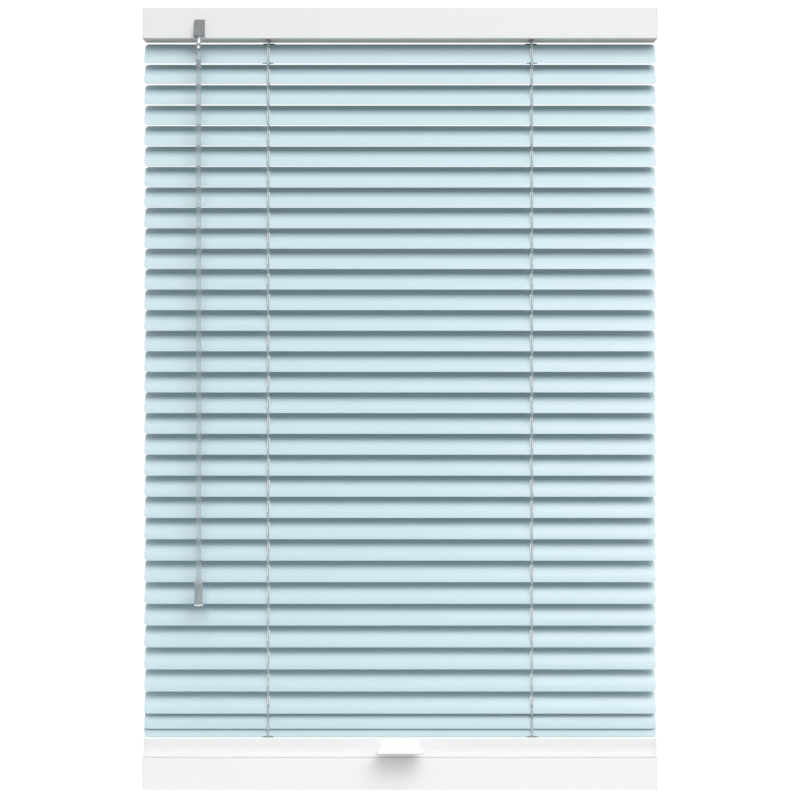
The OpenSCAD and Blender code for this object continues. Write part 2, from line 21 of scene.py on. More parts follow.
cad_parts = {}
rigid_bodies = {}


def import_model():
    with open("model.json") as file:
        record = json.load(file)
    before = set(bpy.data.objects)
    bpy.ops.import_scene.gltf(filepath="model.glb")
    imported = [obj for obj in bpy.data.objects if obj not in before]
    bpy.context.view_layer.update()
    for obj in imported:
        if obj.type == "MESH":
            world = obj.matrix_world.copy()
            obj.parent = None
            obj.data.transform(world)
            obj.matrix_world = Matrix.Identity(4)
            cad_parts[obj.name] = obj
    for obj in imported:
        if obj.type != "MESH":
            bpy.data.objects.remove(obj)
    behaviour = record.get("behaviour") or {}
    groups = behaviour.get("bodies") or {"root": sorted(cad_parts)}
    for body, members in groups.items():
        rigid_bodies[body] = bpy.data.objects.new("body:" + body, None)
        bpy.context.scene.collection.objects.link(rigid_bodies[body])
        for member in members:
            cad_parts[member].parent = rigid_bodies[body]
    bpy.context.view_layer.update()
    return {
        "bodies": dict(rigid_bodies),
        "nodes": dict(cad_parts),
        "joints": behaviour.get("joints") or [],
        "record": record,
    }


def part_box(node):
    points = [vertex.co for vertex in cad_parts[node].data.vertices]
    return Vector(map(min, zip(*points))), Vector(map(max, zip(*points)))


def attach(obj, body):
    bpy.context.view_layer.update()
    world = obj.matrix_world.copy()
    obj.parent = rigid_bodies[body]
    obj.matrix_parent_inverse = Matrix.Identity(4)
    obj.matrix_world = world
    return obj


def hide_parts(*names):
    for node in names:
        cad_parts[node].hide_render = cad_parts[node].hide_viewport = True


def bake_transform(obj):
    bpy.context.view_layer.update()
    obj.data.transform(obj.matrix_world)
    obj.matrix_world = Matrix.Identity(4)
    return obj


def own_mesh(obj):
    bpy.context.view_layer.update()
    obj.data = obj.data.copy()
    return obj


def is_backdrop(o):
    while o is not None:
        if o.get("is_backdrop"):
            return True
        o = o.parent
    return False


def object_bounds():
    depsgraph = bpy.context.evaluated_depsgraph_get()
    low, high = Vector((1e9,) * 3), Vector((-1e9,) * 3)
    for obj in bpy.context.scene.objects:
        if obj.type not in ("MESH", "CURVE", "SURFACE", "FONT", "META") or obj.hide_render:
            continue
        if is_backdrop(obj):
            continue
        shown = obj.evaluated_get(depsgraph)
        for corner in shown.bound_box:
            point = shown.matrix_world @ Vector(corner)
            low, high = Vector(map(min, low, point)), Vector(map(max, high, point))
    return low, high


LOG = logging.getLogger("blind")
MM = 0.001
Colour = tuple[float, float, float]
Point = tuple[float, float, float]

FIXED = "blind_frame"
RAIL = "moving_rail_body"


# ---------------------------------------------------------------- node trees


class TreeKind(Enum):
    """The two kinds of node tree that this script builds."""

    GEOMETRY = "GeometryNodeTree"
    SHADER = "ShaderNodeTree"


class Sockets(Enum):
    """Socket types by a short name."""

    NUMBER = "NodeSocketFloat"
    COUNT = "NodeSocketInt"
    VECTOR = "NodeSocketVector"
    COLOUR = "NodeSocketColor"
    FINISH = "NodeSocketMaterial"
    SHAPE = "NodeSocketGeometry"


class Tree:
    """A node tree under construction, with short calls for its nodes and links."""

    def __init__(self, tree: bpy.types.NodeTree) -> None:
        """Wraps an existing tree."""
        self.tree = tree
        self.source: bpy.types.Node | None = None
        self.sink: bpy.types.Node | None = None

    @classmethod
    def group(
        cls, name: str, kind: TreeKind, inputs: dict[str, Sockets], outputs: dict[str, Sockets]
    ) -> Tree:
        """Makes a node group with named inputs and outputs.

        Args:
            name: Name of the group.
            kind: Geometry or shader.
            inputs: Input sockets by name.
            outputs: Output sockets by name.

        Returns:
            The tree, with its input and output nodes in place.
        """
        made = cls(bpy.data.node_groups.new(name, kind.value))
        for way, sockets in (("INPUT", inputs), ("OUTPUT", outputs)):
            for label, sort in sockets.items():
                made.tree.interface.new_socket(name=label, in_out=way, socket_type=sort.value)
        made.source = made.tree.nodes.new("NodeGroupInput")
        made.sink = made.tree.nodes.new("NodeGroupOutput")
        return made

    def put(self, socket: bpy.types.NodeSocket, value: object) -> None:
        """Links a socket to another one, or sets its value."""
        if isinstance(value, bpy.types.NodeSocket):
            self.tree.links.new(value, socket)
        else:
            socket.default_value = value

    def add(self, kind: str, *values: object, **named: object) -> bpy.types.Node:
        """Adds a node.

        Args:
            kind: Blender's name of the node type.
            values: Values or sockets for the first inputs in order; None leaves one alone.
            named: Inputs by name where the name is one, else settings of the node. A name's
                underscores stand for spaces in an input's name.

        Returns:
            The node.
        """
        node = self.tree.nodes.new(kind)
        inputs = {}
        for label, value in named.items():
            if hasattr(node, label) and not label[0].isupper():
                setattr(node, label, value)
            else:
                inputs[label.replace("_", " ")] = value
        for socket, value in zip([s for s in node.inputs if s.enabled], values):
            if value is not None:
                self.put(socket, value)
        for label, value in inputs.items():
            self.put(next(s for s in node.inputs if s.name == label and s.enabled), value)
        return node

    def math(self, operation: str, *values: object) -> bpy.types.NodeSocket:
        """Adds a Math node and gives its result."""
        return self.add("ShaderNodeMath", *values, operation=operation).outputs[0]

    def vector(self, x: object = 0.0, y: object = 0.0, z: object = 0.0) -> bpy.types.NodeSocket:
        """Joins three numbers or sockets into a vector."""
        return self.add("ShaderNodeCombineXYZ", x, y, z).outputs[0]

    def input(self, label: str) -> bpy.types.NodeSocket:
        """The group's own input of that name."""
        return self.source.outputs[label]


class Shape(Tree):
    """A geometry tree that grows one mesh for one body."""

    @classmethod
    def begin(cls, name: str, inputs: dict[str, Sockets]) -> Shape:
        """Starts a tree whose last input is the finish and whose output is the shape."""
        given = {**inputs, "Finish": Sockets.FINISH}
        return cls.group(name, TreeKind.GEOMETRY, given, {"Geometry": Sockets.SHAPE})

    def place(
        self, shape: object, move: object = None, turn: object = None
    ) -> bpy.types.NodeSocket:
        """Moves and turns geometry."""
        node = self.add("GeometryNodeTransform", shape)
        for label, value in (("Translation", move), ("Rotation", turn)):
            if value is not None:
                self.put(node.inputs[label], value)
        return node.outputs[0]

    def join(self, *shapes: bpy.types.NodeSocket) -> bpy.types.NodeSocket:
        """Joins geometry."""
        node = self.tree.nodes.new("GeometryNodeJoinGeometry")
        for shape in shapes:
            self.tree.links.new(shape, node.inputs[0])
        return node.outputs[0]

    def thicken(self, sheet: bpy.types.NodeSocket, by: object) -> bpy.types.NodeSocket:
        """Makes a closed solid from a sheet, by moving a copy along its normals."""
        raised = self.add(
            "GeometryNodeExtrudeMesh", mode="FACES", Mesh=sheet, Offset_Scale=by, Individual=False
        )
        under = self.add("GeometryNodeFlipFaces", sheet).outputs[0]
        both = self.join(raised.outputs[0], under)
        return self.add("GeometryNodeMergeByDistance", both, Distance=MM * MM).outputs[0]

    def at_both(self, shape: object, x: object) -> bpy.types.NodeSocket:
        """Repeats a shape at -x and at +x."""
        line = self.add(
            "GeometryNodeMeshLine", mode="END_POINTS", Count=2,
            Start_Location=self.vector(self.math("MULTIPLY", x, -1.0)), Offset=self.vector(x),
        )
        return self.add("GeometryNodeInstanceOnPoints", line.outputs[0], Instance=shape).outputs[0]

    def end(self, shape: bpy.types.NodeSocket) -> Shape:
        """Closes the tree with Realize Instances and Set Material."""
        real = self.add("GeometryNodeRealizeInstances", shape).outputs[0]
        dressed = self.add("GeometryNodeSetMaterial", real, Material=self.input("Finish"))
        self.tree.links.new(dressed.outputs[0], self.sink.inputs[0])
        return self

    def grow(self, name: str, finish: bpy.types.Material, **values: object) -> bpy.types.Mesh:
        """Evaluates the tree once into a plain mesh.

        Args:
            name: Name of the mesh.
            finish: The material that it is dressed with.
            values: The tree's inputs, with underscores for spaces.

        Returns:
            The mesh, shaded smooth with its sharp edges kept.
        """
        holder = bpy.data.objects.new(name, bpy.data.meshes.new(name))
        bpy.context.scene.collection.objects.link(holder)
        modifier = holder.modifiers.new("grow", "NODES")
        modifier.node_group = self.tree
        given = {k.replace("_", " "): v for k, v in values.items()} | {"Finish": finish}
        for item in self.tree.interface.items_tree:
            if item.in_out == "INPUT":
                modifier[item.identifier] = given[item.name]
        mesh = bake_out(holder)
        smooth(mesh)
        return mesh


# ---------------------------------------------------------------- meshes


def bake_out(holder: bpy.types.Object) -> bpy.types.Mesh:
    """Turns an object with its modifiers into a plain mesh and removes the object."""
    graph = bpy.context.evaluated_depsgraph_get()
    mesh = bpy.data.meshes.new_from_object(
        holder.evaluated_get(graph), preserve_all_data_layers=True, depsgraph=graph
    )
    mesh.name = holder.name
    bpy.data.objects.remove(holder)
    return mesh


def smooth(mesh: bpy.types.Mesh, angle: float = 38.0) -> None:
    """Shades a mesh smooth, with edges over an angle in degrees kept sharp."""
    mesh.shade_smooth()
    mesh.set_sharp_from_angle(angle=math.radians(angle))


def from_bmesh(build: bmesh.types.BMesh, name: str) -> bpy.types.Mesh:
    """Writes a bmesh to a new mesh with its faces pointing outwards."""
    bmesh.ops.recalc_face_normals(build, faces=build.faces)
    mesh = bpy.data.meshes.new(name)
    build.to_mesh(mesh)
    build.free()
    return mesh


def piece(
    name: str,
    mesh: bpy.types.Mesh,
    body: str | None,
    finish: bpy.types.Material | None = None,
    stands_for: Sequence[str] = (),
) -> bpy.types.Object:
    """Adds a finished mesh to the scene as one piece of the blind.

    Args:
        name: Name of the piece.
        mesh: Its final mesh, in place.
        body: The body that it rides on, or None to leave it on no body.
        finish: Its material, where the mesh has none yet.
        stands_for: The frame's nodes that it replaces.

    Returns:
        The object.
    """
    if finish is not None:
        mesh.materials.clear()
        mesh.materials.append(finish)
    made = bpy.data.objects.new(name, mesh)
    bpy.context.scene.collection.objects.link(made)
    if body is not None:
        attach(made, body)
    if stands_for:
        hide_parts(*stands_for)
    LOG.info("%s: %d faces on %s", name, len(mesh.polygons), body or "two bodies")
    return made


def skin(
    build: bmesh.types.BMesh, rings: Iterable[Sequence[Point]], looped: bool = False
) -> None:
    """Skins rings of equal length into a closed solid.

    Args:
        build: The bmesh that it is added to.
        rings: The rings in order, each a sequence of points.
        looped: Joins the last ring to the first, where otherwise both are capped.
    """
    rows = [[build.verts.new(point) for point in ring] for ring in rings]
    for low, high in zip(rows, rows[1:] + (rows[:1] if looped else [])):
        for k in range(len(low)):
            build.faces.new((low[k - 1], low[k], high[k], high[k - 1]))
    if not looped:
        build.faces.new(rows[0])
        build.faces.new(rows[-1])


def loft(rings: Iterable[Sequence[Point]], name: str) -> bpy.types.Mesh:
    """Skins closed rings of equal length into a solid that is capped at both ends.

    Args:
        rings: The rings in order, each a sequence of points.
        name: Name of the mesh.

    Returns:
        The closed mesh.
    """
    build = bmesh.new()
    skin(build, rings)
    return from_bmesh(build, name)


def ease(value: float, low: float, high: float) -> float:
    """Rises smoothly from 0 at low to 1 at high."""
    t = min(1.0, max(0.0, (value - low) / (high - low)))
    return t * t * (3 - 2 * t)


def polar_ring(
    centre: Vector, radius: Callable[[float], float], z: float, count: int
) -> list[Point]:
    """A level ring of points round a centre, with a radius for each angle."""
    turn = [2 * math.pi * k / count for k in range(count)]
    return [
        (centre.x + radius(a) * math.cos(a), centre.y + radius(a) * math.sin(a), z) for a in turn
    ]


def hexagon(corner_r: float, edge_r: float) -> Callable[[float], float]:
    """Radius by angle of a hexagon with softened corners.

    Args:
        corner_r: Radius over the sharp corners.
        edge_r: How much the corners are cut back.

    Returns:
        A function of the angle.
    """
    flat = corner_r * math.cos(math.pi / 6)

    def radius(angle: float) -> float:
        """Radius at one angle."""
        off = (angle + math.pi / 6) % (math.pi / 3) - math.pi / 6
        return min(flat / math.cos(math.pi / 6 - abs(off)), corner_r - edge_r)

    return radius


class FrameCopy:
    """Makes softened copies of the frame's hard parts, so that their edges catch the light."""

    def __init__(self, frame: dict) -> None:
        """Keeps the frame that the copies are taken from."""
        self.nodes = frame["nodes"]

    def merged(self, node: str) -> bmesh.types.BMesh:
        """The node's mesh with its doubles merged and its flat faces whole."""
        build = bmesh.new()
        build.from_mesh(self.nodes[node].data)
        bmesh.ops.remove_doubles(build, verts=build.verts, dist=2e-6)
        bmesh.ops.dissolve_limit(
            build, angle_limit=math.radians(0.6), verts=build.verts, edges=build.edges,
            delimit={"NORMAL"},
        )
        return build

    def softened(
        self,
        node: str,
        name: str,
        edge: float,
        shape: Callable[[bmesh.types.BMesh], None] | None = None,
    ) -> bpy.types.Mesh:
        """A copy of a node with rounded edges.

        Args:
            node: The frame's node.
            name: Name of the new mesh.
            edge: Width of the rounding in metres, or 0 for none.
            shape: Adds detail to the merged copy before it is rounded.

        Returns:
            The mesh.
        """
        build = self.merged(node)
        if shape is not None:
            shape(build)
        holder = bpy.data.objects.new(name, from_bmesh(build, name))
        bpy.context.scene.collection.objects.link(holder)
        smooth(holder.data)
        if edge:
            bevel = holder.modifiers.new("edges", "BEVEL")
            bevel.width, bevel.segments = edge, 2
            bevel.limit_method, bevel.angle_limit = "ANGLE", math.radians(32)
            bevel.use_clamp_overlap = False
            bevel.miter_outer = "MITER_ARC"
            weighted = holder.modifiers.new("normals", "WEIGHTED_NORMAL")
            weighted.mode, weighted.weight, weighted.keep_sharp = "FACE_AREA", 80, True
        return bake_out(holder)


# ---------------------------------------------------------------- finishes


class Effects:
    """Shader groups that several finishes share."""

    def __init__(self) -> None:
        """Builds each group once."""
        self.grain = self._grain()
        self.tone = self._tone()
        self.wear_and_glint = self._wear_and_glint()
        self.lay = self._lay()

    @staticmethod
    def _coordinates(tree: Tree, stretch: object) -> bpy.types.NodeSocket:
        """Object coordinates, stretched along X."""
        where = tree.add("ShaderNodeTexCoord").outputs["Object"]
        slow = tree.math("DIVIDE", 1.0, stretch)
        return tree.add("ShaderNodeMapping", where, Scale=tree.vector(slow, 1.0, 1.0)).outputs[0]

    def _grain(self) -> bpy.types.NodeTree:
        """Fine relief with a slow drift of the roughness."""
        number = Sockets.NUMBER
        tree = Tree.group(
            "surface grain", TreeKind.SHADER,
            {"Scale": number, "Stretch": number, "Roughness": number, "Spread": number},
            {"Height": number, "Roughness": number},
        )
        at = self._coordinates(tree, tree.input("Stretch"))
        fine = tree.add(
            "ShaderNodeTexNoise", Vector=at, Scale=tree.input("Scale"), Detail=3.0, Roughness=0.6
        ).outputs[0]
        slow = tree.math("DIVIDE", tree.input("Scale"), 40.0)
        broad = tree.add("ShaderNodeTexNoise", Vector=at, Scale=slow, Detail=4.0).outputs[0]
        mixed = tree.math("ADD", tree.math("MULTIPLY", fine, 0.4),
                          tree.math("MULTIPLY", broad, 0.6))
        swing = tree.math("MULTIPLY", tree.math("SUBTRACT", mixed, 0.5), tree.input("Spread"))
        tree.put(tree.sink.inputs["Height"], fine)
        tree.put(tree.sink.inputs["Roughness"], tree.math("ADD", tree.input("Roughness"), swing))
        return tree.tree

    def _tone(self) -> bpy.types.NodeTree:
        """Slow drift of the colour, with dust where the surface faces up."""
        number, colour = Sockets.NUMBER, Sockets.COLOUR
        tree = Tree.group(
            "tone and dust", TreeKind.SHADER,
            {"Color": colour, "Drift": number, "Dust": number, "Dust Color": colour,
             "Stretch": number},
            {"Color": colour},
        )
        at = self._coordinates(tree, tree.input("Stretch"))
        cloud = tree.add("ShaderNodeTexNoise", Vector=at, Scale=22.0, Detail=5.0).outputs[0]
        swing = tree.math("MULTIPLY", tree.math("SUBTRACT", cloud, 0.5), tree.input("Drift"))
        shade = tree.math("ADD", swing, 1.0)
        toned = tree.add("ShaderNodeVectorMath", operation="SCALE", Vector=tree.input("Color"),
                         Scale=shade).outputs[0]
        facing = tree.add("ShaderNodeSeparateXYZ",
                          tree.add("ShaderNodeNewGeometry").outputs["Normal"])
        upward = tree.math("POWER", tree.math("MAXIMUM", facing.outputs["Z"], 0.0), 3.0)
        speck = tree.add("ShaderNodeTexNoise", Vector=at, Scale=900.0, Detail=2.0).outputs[0]
        amount = tree.math("MULTIPLY", tree.math("MULTIPLY", upward, speck), tree.input("Dust"))
        mixed = tree.add("ShaderNodeMix", data_type="RGBA", Factor=amount, A=toned,
                         B=tree.input("Dust Color"))
        tree.put(tree.sink.inputs["Color"], mixed.outputs[2])
        return tree.tree

    def _wear_and_glint(self) -> bpy.types.NodeTree:
        """Lightens or darkens the raised edges in patches: rubbing, and on the slats a painted
        highlight where the edges would catch the light.
        """
        number, colour = Sockets.NUMBER, Sockets.COLOUR
        tree = Tree.group(
            "edge rubbing and glint", TreeKind.SHADER,
            {"Color": colour, "Edge Color": colour, "Amount": number}, {"Color": colour},
        )
        # Raised edges are mixed towards the edge colour: rubbing, and where that colour is lighter,
        # a painted highlight.
        sharp = tree.add("ShaderNodeNewGeometry").outputs["Pointiness"]
        raised = tree.add("ShaderNodeMapRange", sharp, 0.51, 0.58, 0.0, 1.0).outputs[0]
        at = self._coordinates(tree, 1.0)
        patch = tree.add("ShaderNodeTexNoise", Vector=at, Scale=160.0, Detail=3.0).outputs[0]
        amount = tree.math("MULTIPLY", tree.math("MULTIPLY", raised, patch), tree.input("Amount"))
        mixed = tree.add("ShaderNodeMix", data_type="RGBA", Factor=amount, A=tree.input("Color"),
                         B=tree.input("Edge Color"))
        tree.put(tree.sink.inputs["Color"], mixed.outputs[2])
        return tree.tree

    def _lay(self) -> bpy.types.NodeTree:
        """The slanting plies of a twisted or braided string, with painted shade in the grooves
        between the plies.
        """
        number, colour = Sockets.NUMBER, Sockets.COLOUR
        tree = Tree.group(
            "string lay", TreeKind.SHADER,
            {"Color": colour, "Groove Color": colour, "Lay": number},
            {"Color": colour, "Height": number},
        )
        axes = tree.add("ShaderNodeSeparateXYZ", tree.add("ShaderNodeTexCoord").outputs["Object"])
        across = tree.math("ADD", axes.outputs["X"], axes.outputs["Y"])
        slant = tree.math("ADD", axes.outputs["Z"], tree.math("MULTIPLY", across, 0.9))
        turn = tree.math("MULTIPLY", tree.math("DIVIDE", slant, tree.input("Lay")), 2 * math.pi)
        wave = tree.math("ADD", tree.math("MULTIPLY", tree.math("SINE", turn), 0.5), 0.5)
        # Painted shade: the grooves between plies are mixed towards the darker groove colour.
        mixed = tree.add("ShaderNodeMix", data_type="RGBA", Factor=wave,
                         A=tree.input("Groove Color"), B=tree.input("Color"))
        tree.put(tree.sink.inputs["Color"], mixed.outputs[2])
        tree.put(tree.sink.inputs["Height"], wave)
        return tree.tree


@dataclass(frozen=True)
class Finish:
    """A finish: its colour, gloss and relief, what ages it, and any painted highlight on its raised
    edges.
    """

    name: str
    colour: Colour
    roughness: float = 0.4
    metallic: float = 0.0
    specular: float = 0.5
    coat: float = 0.0
    sheen: float = 0.0
    grain: float = 2500.0
    stretch: float = 1.0
    depth: float = 0.1
    spread: float = 0.12
    drift: float = 0.05
    dust: float = 0.0
    # The next two fields tint the raised edges: rubbing, and where the tint is lighter, a painted
    # highlight.
    wear_and_glint: float = 0.0
    wear_and_glint_colour: Colour = (0.9, 0.9, 0.9)

    def material(self, effects: Effects) -> bpy.types.Material:
        """Builds the material.

        Args:
            effects: The shared shader groups.

        Returns:
            The material.
        """
        made, tree, shader = self.blank()
        relief = self.group(tree, effects.grain, Scale=self.grain, Stretch=self.stretch,
                            Roughness=self.roughness, Spread=self.spread)
        tree.put(shader.inputs["Roughness"], relief.outputs["Roughness"])
        tree.put(shader.inputs["Base Color"], self.coloured(tree, effects))
        self.bump(tree, shader, relief.outputs["Height"])
        return made

    def blank(self) -> tuple[bpy.types.Material, Tree, bpy.types.Node]:
        """A material with its plain values set, its tree and its shader."""
        made = bpy.data.materials.new(self.name)
        made.use_nodes = True
        made.diffuse_color = (*self.colour, 1.0)
        tree = Tree(made.node_tree)
        shader = next(n for n in made.node_tree.nodes if n.type == "BSDF_PRINCIPLED")
        plain = {"Metallic": self.metallic, "Specular IOR Level": self.specular,
                 "Coat Weight": self.coat, "Coat Roughness": 0.12, "Sheen Weight": self.sheen}
        for label, value in plain.items():
            shader.inputs[label].default_value = value
        return made, tree, shader

    @staticmethod
    def group(tree: Tree, shared: bpy.types.NodeTree, **values: object) -> bpy.types.Node:
        """Places a shared group in a tree with its own values."""
        node = tree.tree.nodes.new("ShaderNodeGroup")
        node.node_tree = shared
        for label, value in values.items():
            tree.put(node.inputs[label.replace("_", " ")], value)
        return node

    def coloured(self, tree: Tree, effects: Effects) -> bpy.types.NodeSocket:
        """The colour with its drift, dust and rubbed edges, whose lighter edge colour is partly a
        painted highlight.
        """
        tone = self.group(tree, effects.tone, Color=(*self.colour, 1.0), Drift=self.drift,
                          Dust=self.dust, Dust_Color=(0.62, 0.6, 0.56, 1.0), Stretch=self.stretch)
        if not self.wear_and_glint:
            return tone.outputs["Color"]
        worn_and_glinting = self.group(tree, effects.wear_and_glint, Color=tone.outputs["Color"], Amount=self.wear_and_glint,
                          Edge_Color=(*self.wear_and_glint_colour, 1.0))
        return worn_and_glinting.outputs["Color"]

    def bump(self, tree: Tree, shader: bpy.types.Node, height: bpy.types.NodeSocket) -> None:
        """Feeds a height to the shader's normal."""
        bump = tree.add("ShaderNodeBump", Strength=self.depth, Distance=0.1 * MM, Height=height)
        tree.put(shader.inputs["Normal"], bump.outputs["Normal"])


@dataclass(frozen=True)
class Clear(Finish):
    """A clear moulded plastic with a slight tint."""

    through: float = 0.9
    index: float = 1.49

    def material(self, effects: Effects) -> bpy.types.Material:
        """Builds the clear material from the plain one."""
        made = super().material(effects)
        shader = next(n for n in made.node_tree.nodes if n.type == "BSDF_PRINCIPLED")
        shader.inputs["Transmission Weight"].default_value = self.through
        shader.inputs["IOR"].default_value = self.index
        return made


@dataclass(frozen=True)
class Yarn(Finish):
    """A twisted or braided string, with painted shade in the grooves of its lay."""

    lay: float = 0.9 * MM
    # Darker colour painted into the grooves between plies: painted shade.
    groove: Colour = (0.3, 0.34, 0.35)

    def material(self, effects: Effects) -> bpy.types.Material:
        """Builds the string's material, with its plies drawn by the shared lay."""
        made, tree, shader = self.blank()
        plies = self.group(tree, effects.lay, Color=self.coloured(tree, effects), Lay=self.lay,
                           Groove_Color=(*self.groove, 1.0))
        relief = self.group(tree, effects.grain, Scale=self.grain, Stretch=1.0,
                            Roughness=self.roughness, Spread=self.spread)
        tree.put(shader.inputs["Base Color"], plies.outputs["Color"])
        tree.put(shader.inputs["Roughness"], relief.outputs["Roughness"])
        self.bump(tree, shader, plies.outputs["Height"])
        return made


FINISHES: dict[str, Finish] = {
    # The slats' pale edge colour is a painted highlight along their raised edges, standing in for
    # the rims that catch the light.
    "slat_paint": Finish("pale blue slat paint", (0.52, 0.665, 0.713), 0.34, specular=0.42,
                         coat=0.15, grain=1500.0, stretch=3.0, depth=0.05, spread=0.1,
                         drift=0.035, dust=0.05, wear_and_glint=0.25, wear_and_glint_colour=(0.72, 0.86, 0.9)),
    "rail_paint": Finish("white rail paint", (0.95, 0.95, 0.95), 0.38, specular=0.45,
                         grain=2200.0, stretch=2.0, depth=0.07, drift=0.02, dust=0.05,
                         wear_and_glint=0.1, wear_and_glint_colour=(0.93, 0.93, 0.93)),
    "cap_plastic": Finish("white cap plastic", (0.91, 0.91, 0.91), 0.46, grain=3500.0,
                          depth=0.12, drift=0.03, wear_and_glint=0.1, wear_and_glint_colour=(0.92, 0.92, 0.92)),
    "tab_plastic": Finish("white tab plastic", (0.9, 0.9, 0.9), 0.33, grain=3000.0,
                          depth=0.08, drift=0.02),
    "bracket_steel": Finish("zinc plated steel", (0.62, 0.64, 0.66), 0.36, metallic=1.0,
                            grain=700.0, depth=0.15, spread=0.3, drift=0.25, wear_and_glint=0.3,
                            wear_and_glint_colour=(0.8, 0.82, 0.84)),
    "inner_plastic": Finish("grey inner plastic", (0.70, 0.72, 0.72), 0.5, grain=3000.0,
                            depth=0.2, drift=0.06, dust=0.25),
    "gear_plastic": Finish("ivory gear plastic", (0.82, 0.76, 0.58), 0.35, grain=2500.0,
                           depth=0.08, drift=0.05),
    "rod_steel": Finish("drawn rod steel", (0.56, 0.57, 0.58), 0.3, metallic=1.0, grain=2600.0,
                        stretch=30.0, depth=0.2, spread=0.25, drift=0.12),
    "stem_metal": Finish("satin nickel stem", (0.66, 0.68, 0.68), 0.4, metallic=0.6, grain=1800.0,
                         depth=0.08, spread=0.15, drift=0.08),
    "link_wire": Finish("bright wire", (0.60, 0.61, 0.62), 0.22, metallic=1.0, grain=1800.0,
                        depth=0.1, drift=0.1),
    "guide_plastic": Finish("clear-grey guide plastic", (0.60, 0.63, 0.64), 0.3, grain=3000.0,
                            depth=0.06),
    "clip_plastic": Finish("dark clip plastic", (0.045, 0.06, 0.065), 0.42, grain=3500.0,
                           depth=0.15, drift=0.15),
    "wand_plastic": Clear("clear wand acrylic", (0.82, 0.85, 0.86), 0.14, grain=400.0,
                          depth=0.03, spread=0.05, drift=0.03, through=0.85),
    "grip_plastic": Clear("clear grip acrylic", (0.78, 0.83, 0.84), 0.2, grain=900.0,
                          depth=0.06, spread=0.08, drift=0.05, through=0.7),
    "cover_plastic": Clear("smoky cover acrylic", (0.56, 0.58, 0.58), 0.3, grain=700.0,
                           depth=0.04, spread=0.06, drift=0.04, through=0.85),
    "ladder_string": Yarn("ladder string", (0.70, 0.80, 0.83), 0.75, sheen=0.3, grain=5000.0,
                          depth=0.6, drift=0.15),
    "tension_cord": Yarn("braided tension cord", (0.74, 0.80, 0.81), 0.6, sheen=0.25,
                         grain=5000.0, depth=0.6, drift=0.12, lay=0.55 * MM),
}


# ---------------------------------------------------------------- the blind's measures


@dataclass(frozen=True)
class Measures:
    """Places and sizes that the sub-assemblies share, read from the frame."""

    axis_y: float
    slat_z: tuple[float, ...]
    head_z: float
    rod_z: float
    rail_top: float
    ladder_x: float
    wand: Vector
    travel: float
    tilt: float = math.radians(60)
    slat_l: float = 533 * MM
    slat_w: float = 25 * MM
    slat_t: float = 0.4 * MM
    crown: float = 1.4 * MM
    pitch: float = 21.42 * MM
    growth: float = 0.0578 * MM
    even: int = 17
    string_w: float = 0.52 * MM
    ferrule_r: float = 1.4 * MM

    @classmethod
    def read(cls, frame: dict) -> Measures:
        """Takes the measures from the frame's joints and boxes.


        Returns:
            The measures.
        """
        joints = {j["name"]: j for j in frame["joints"]}
        first = joints["slat_01_tilt"]["pos_m"]
        rise = first[2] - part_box("slat_01")[0][2]
        slats = sorted(n for n in frame["nodes"] if n.startswith("slat_"))
        low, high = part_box("tension_cords")
        return cls(
            axis_y=first[1],
            slat_z=tuple(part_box(n)[0][2] + rise for n in slats),
            head_z=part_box("headrail")[0][2],
            rod_z=joints["tilt"]["pos_m"][2],
            rail_top=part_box("moving_rail")[1][2],
            ladder_x=(high[0] - low[0]) / 2 - cls.ferrule_r,
            wand=Vector(joints["wand_turn"]["pos_m"]),
            travel=joints["raise"]["range_m"][1],
        )

    @property
    def reach(self) -> float:
        """Distance of a leg from a slat's axis, along the slat."""
        return self.slat_w / 2 + 2 * self.string_w + self.slat_t

    def edge(self, slat: int, side: int) -> Vector:
        """Where a ladder leg holds a slat.

        Args:
            slat: Number of the slat, from 1 at the top.
            side: -1 for the front leg, 1 for the rear one.

        Returns:
            The point, at x = 0.
        """
        rise = self.slat_t / 2
        y = side * self.reach * math.cos(self.tilt) - rise * math.sin(self.tilt)
        z = side * self.reach * math.sin(self.tilt) + rise * math.cos(self.tilt)
        return Vector((0, self.axis_y + y, self.slat_z[slat - 1] + z))


# ---------------------------------------------------------------- slats


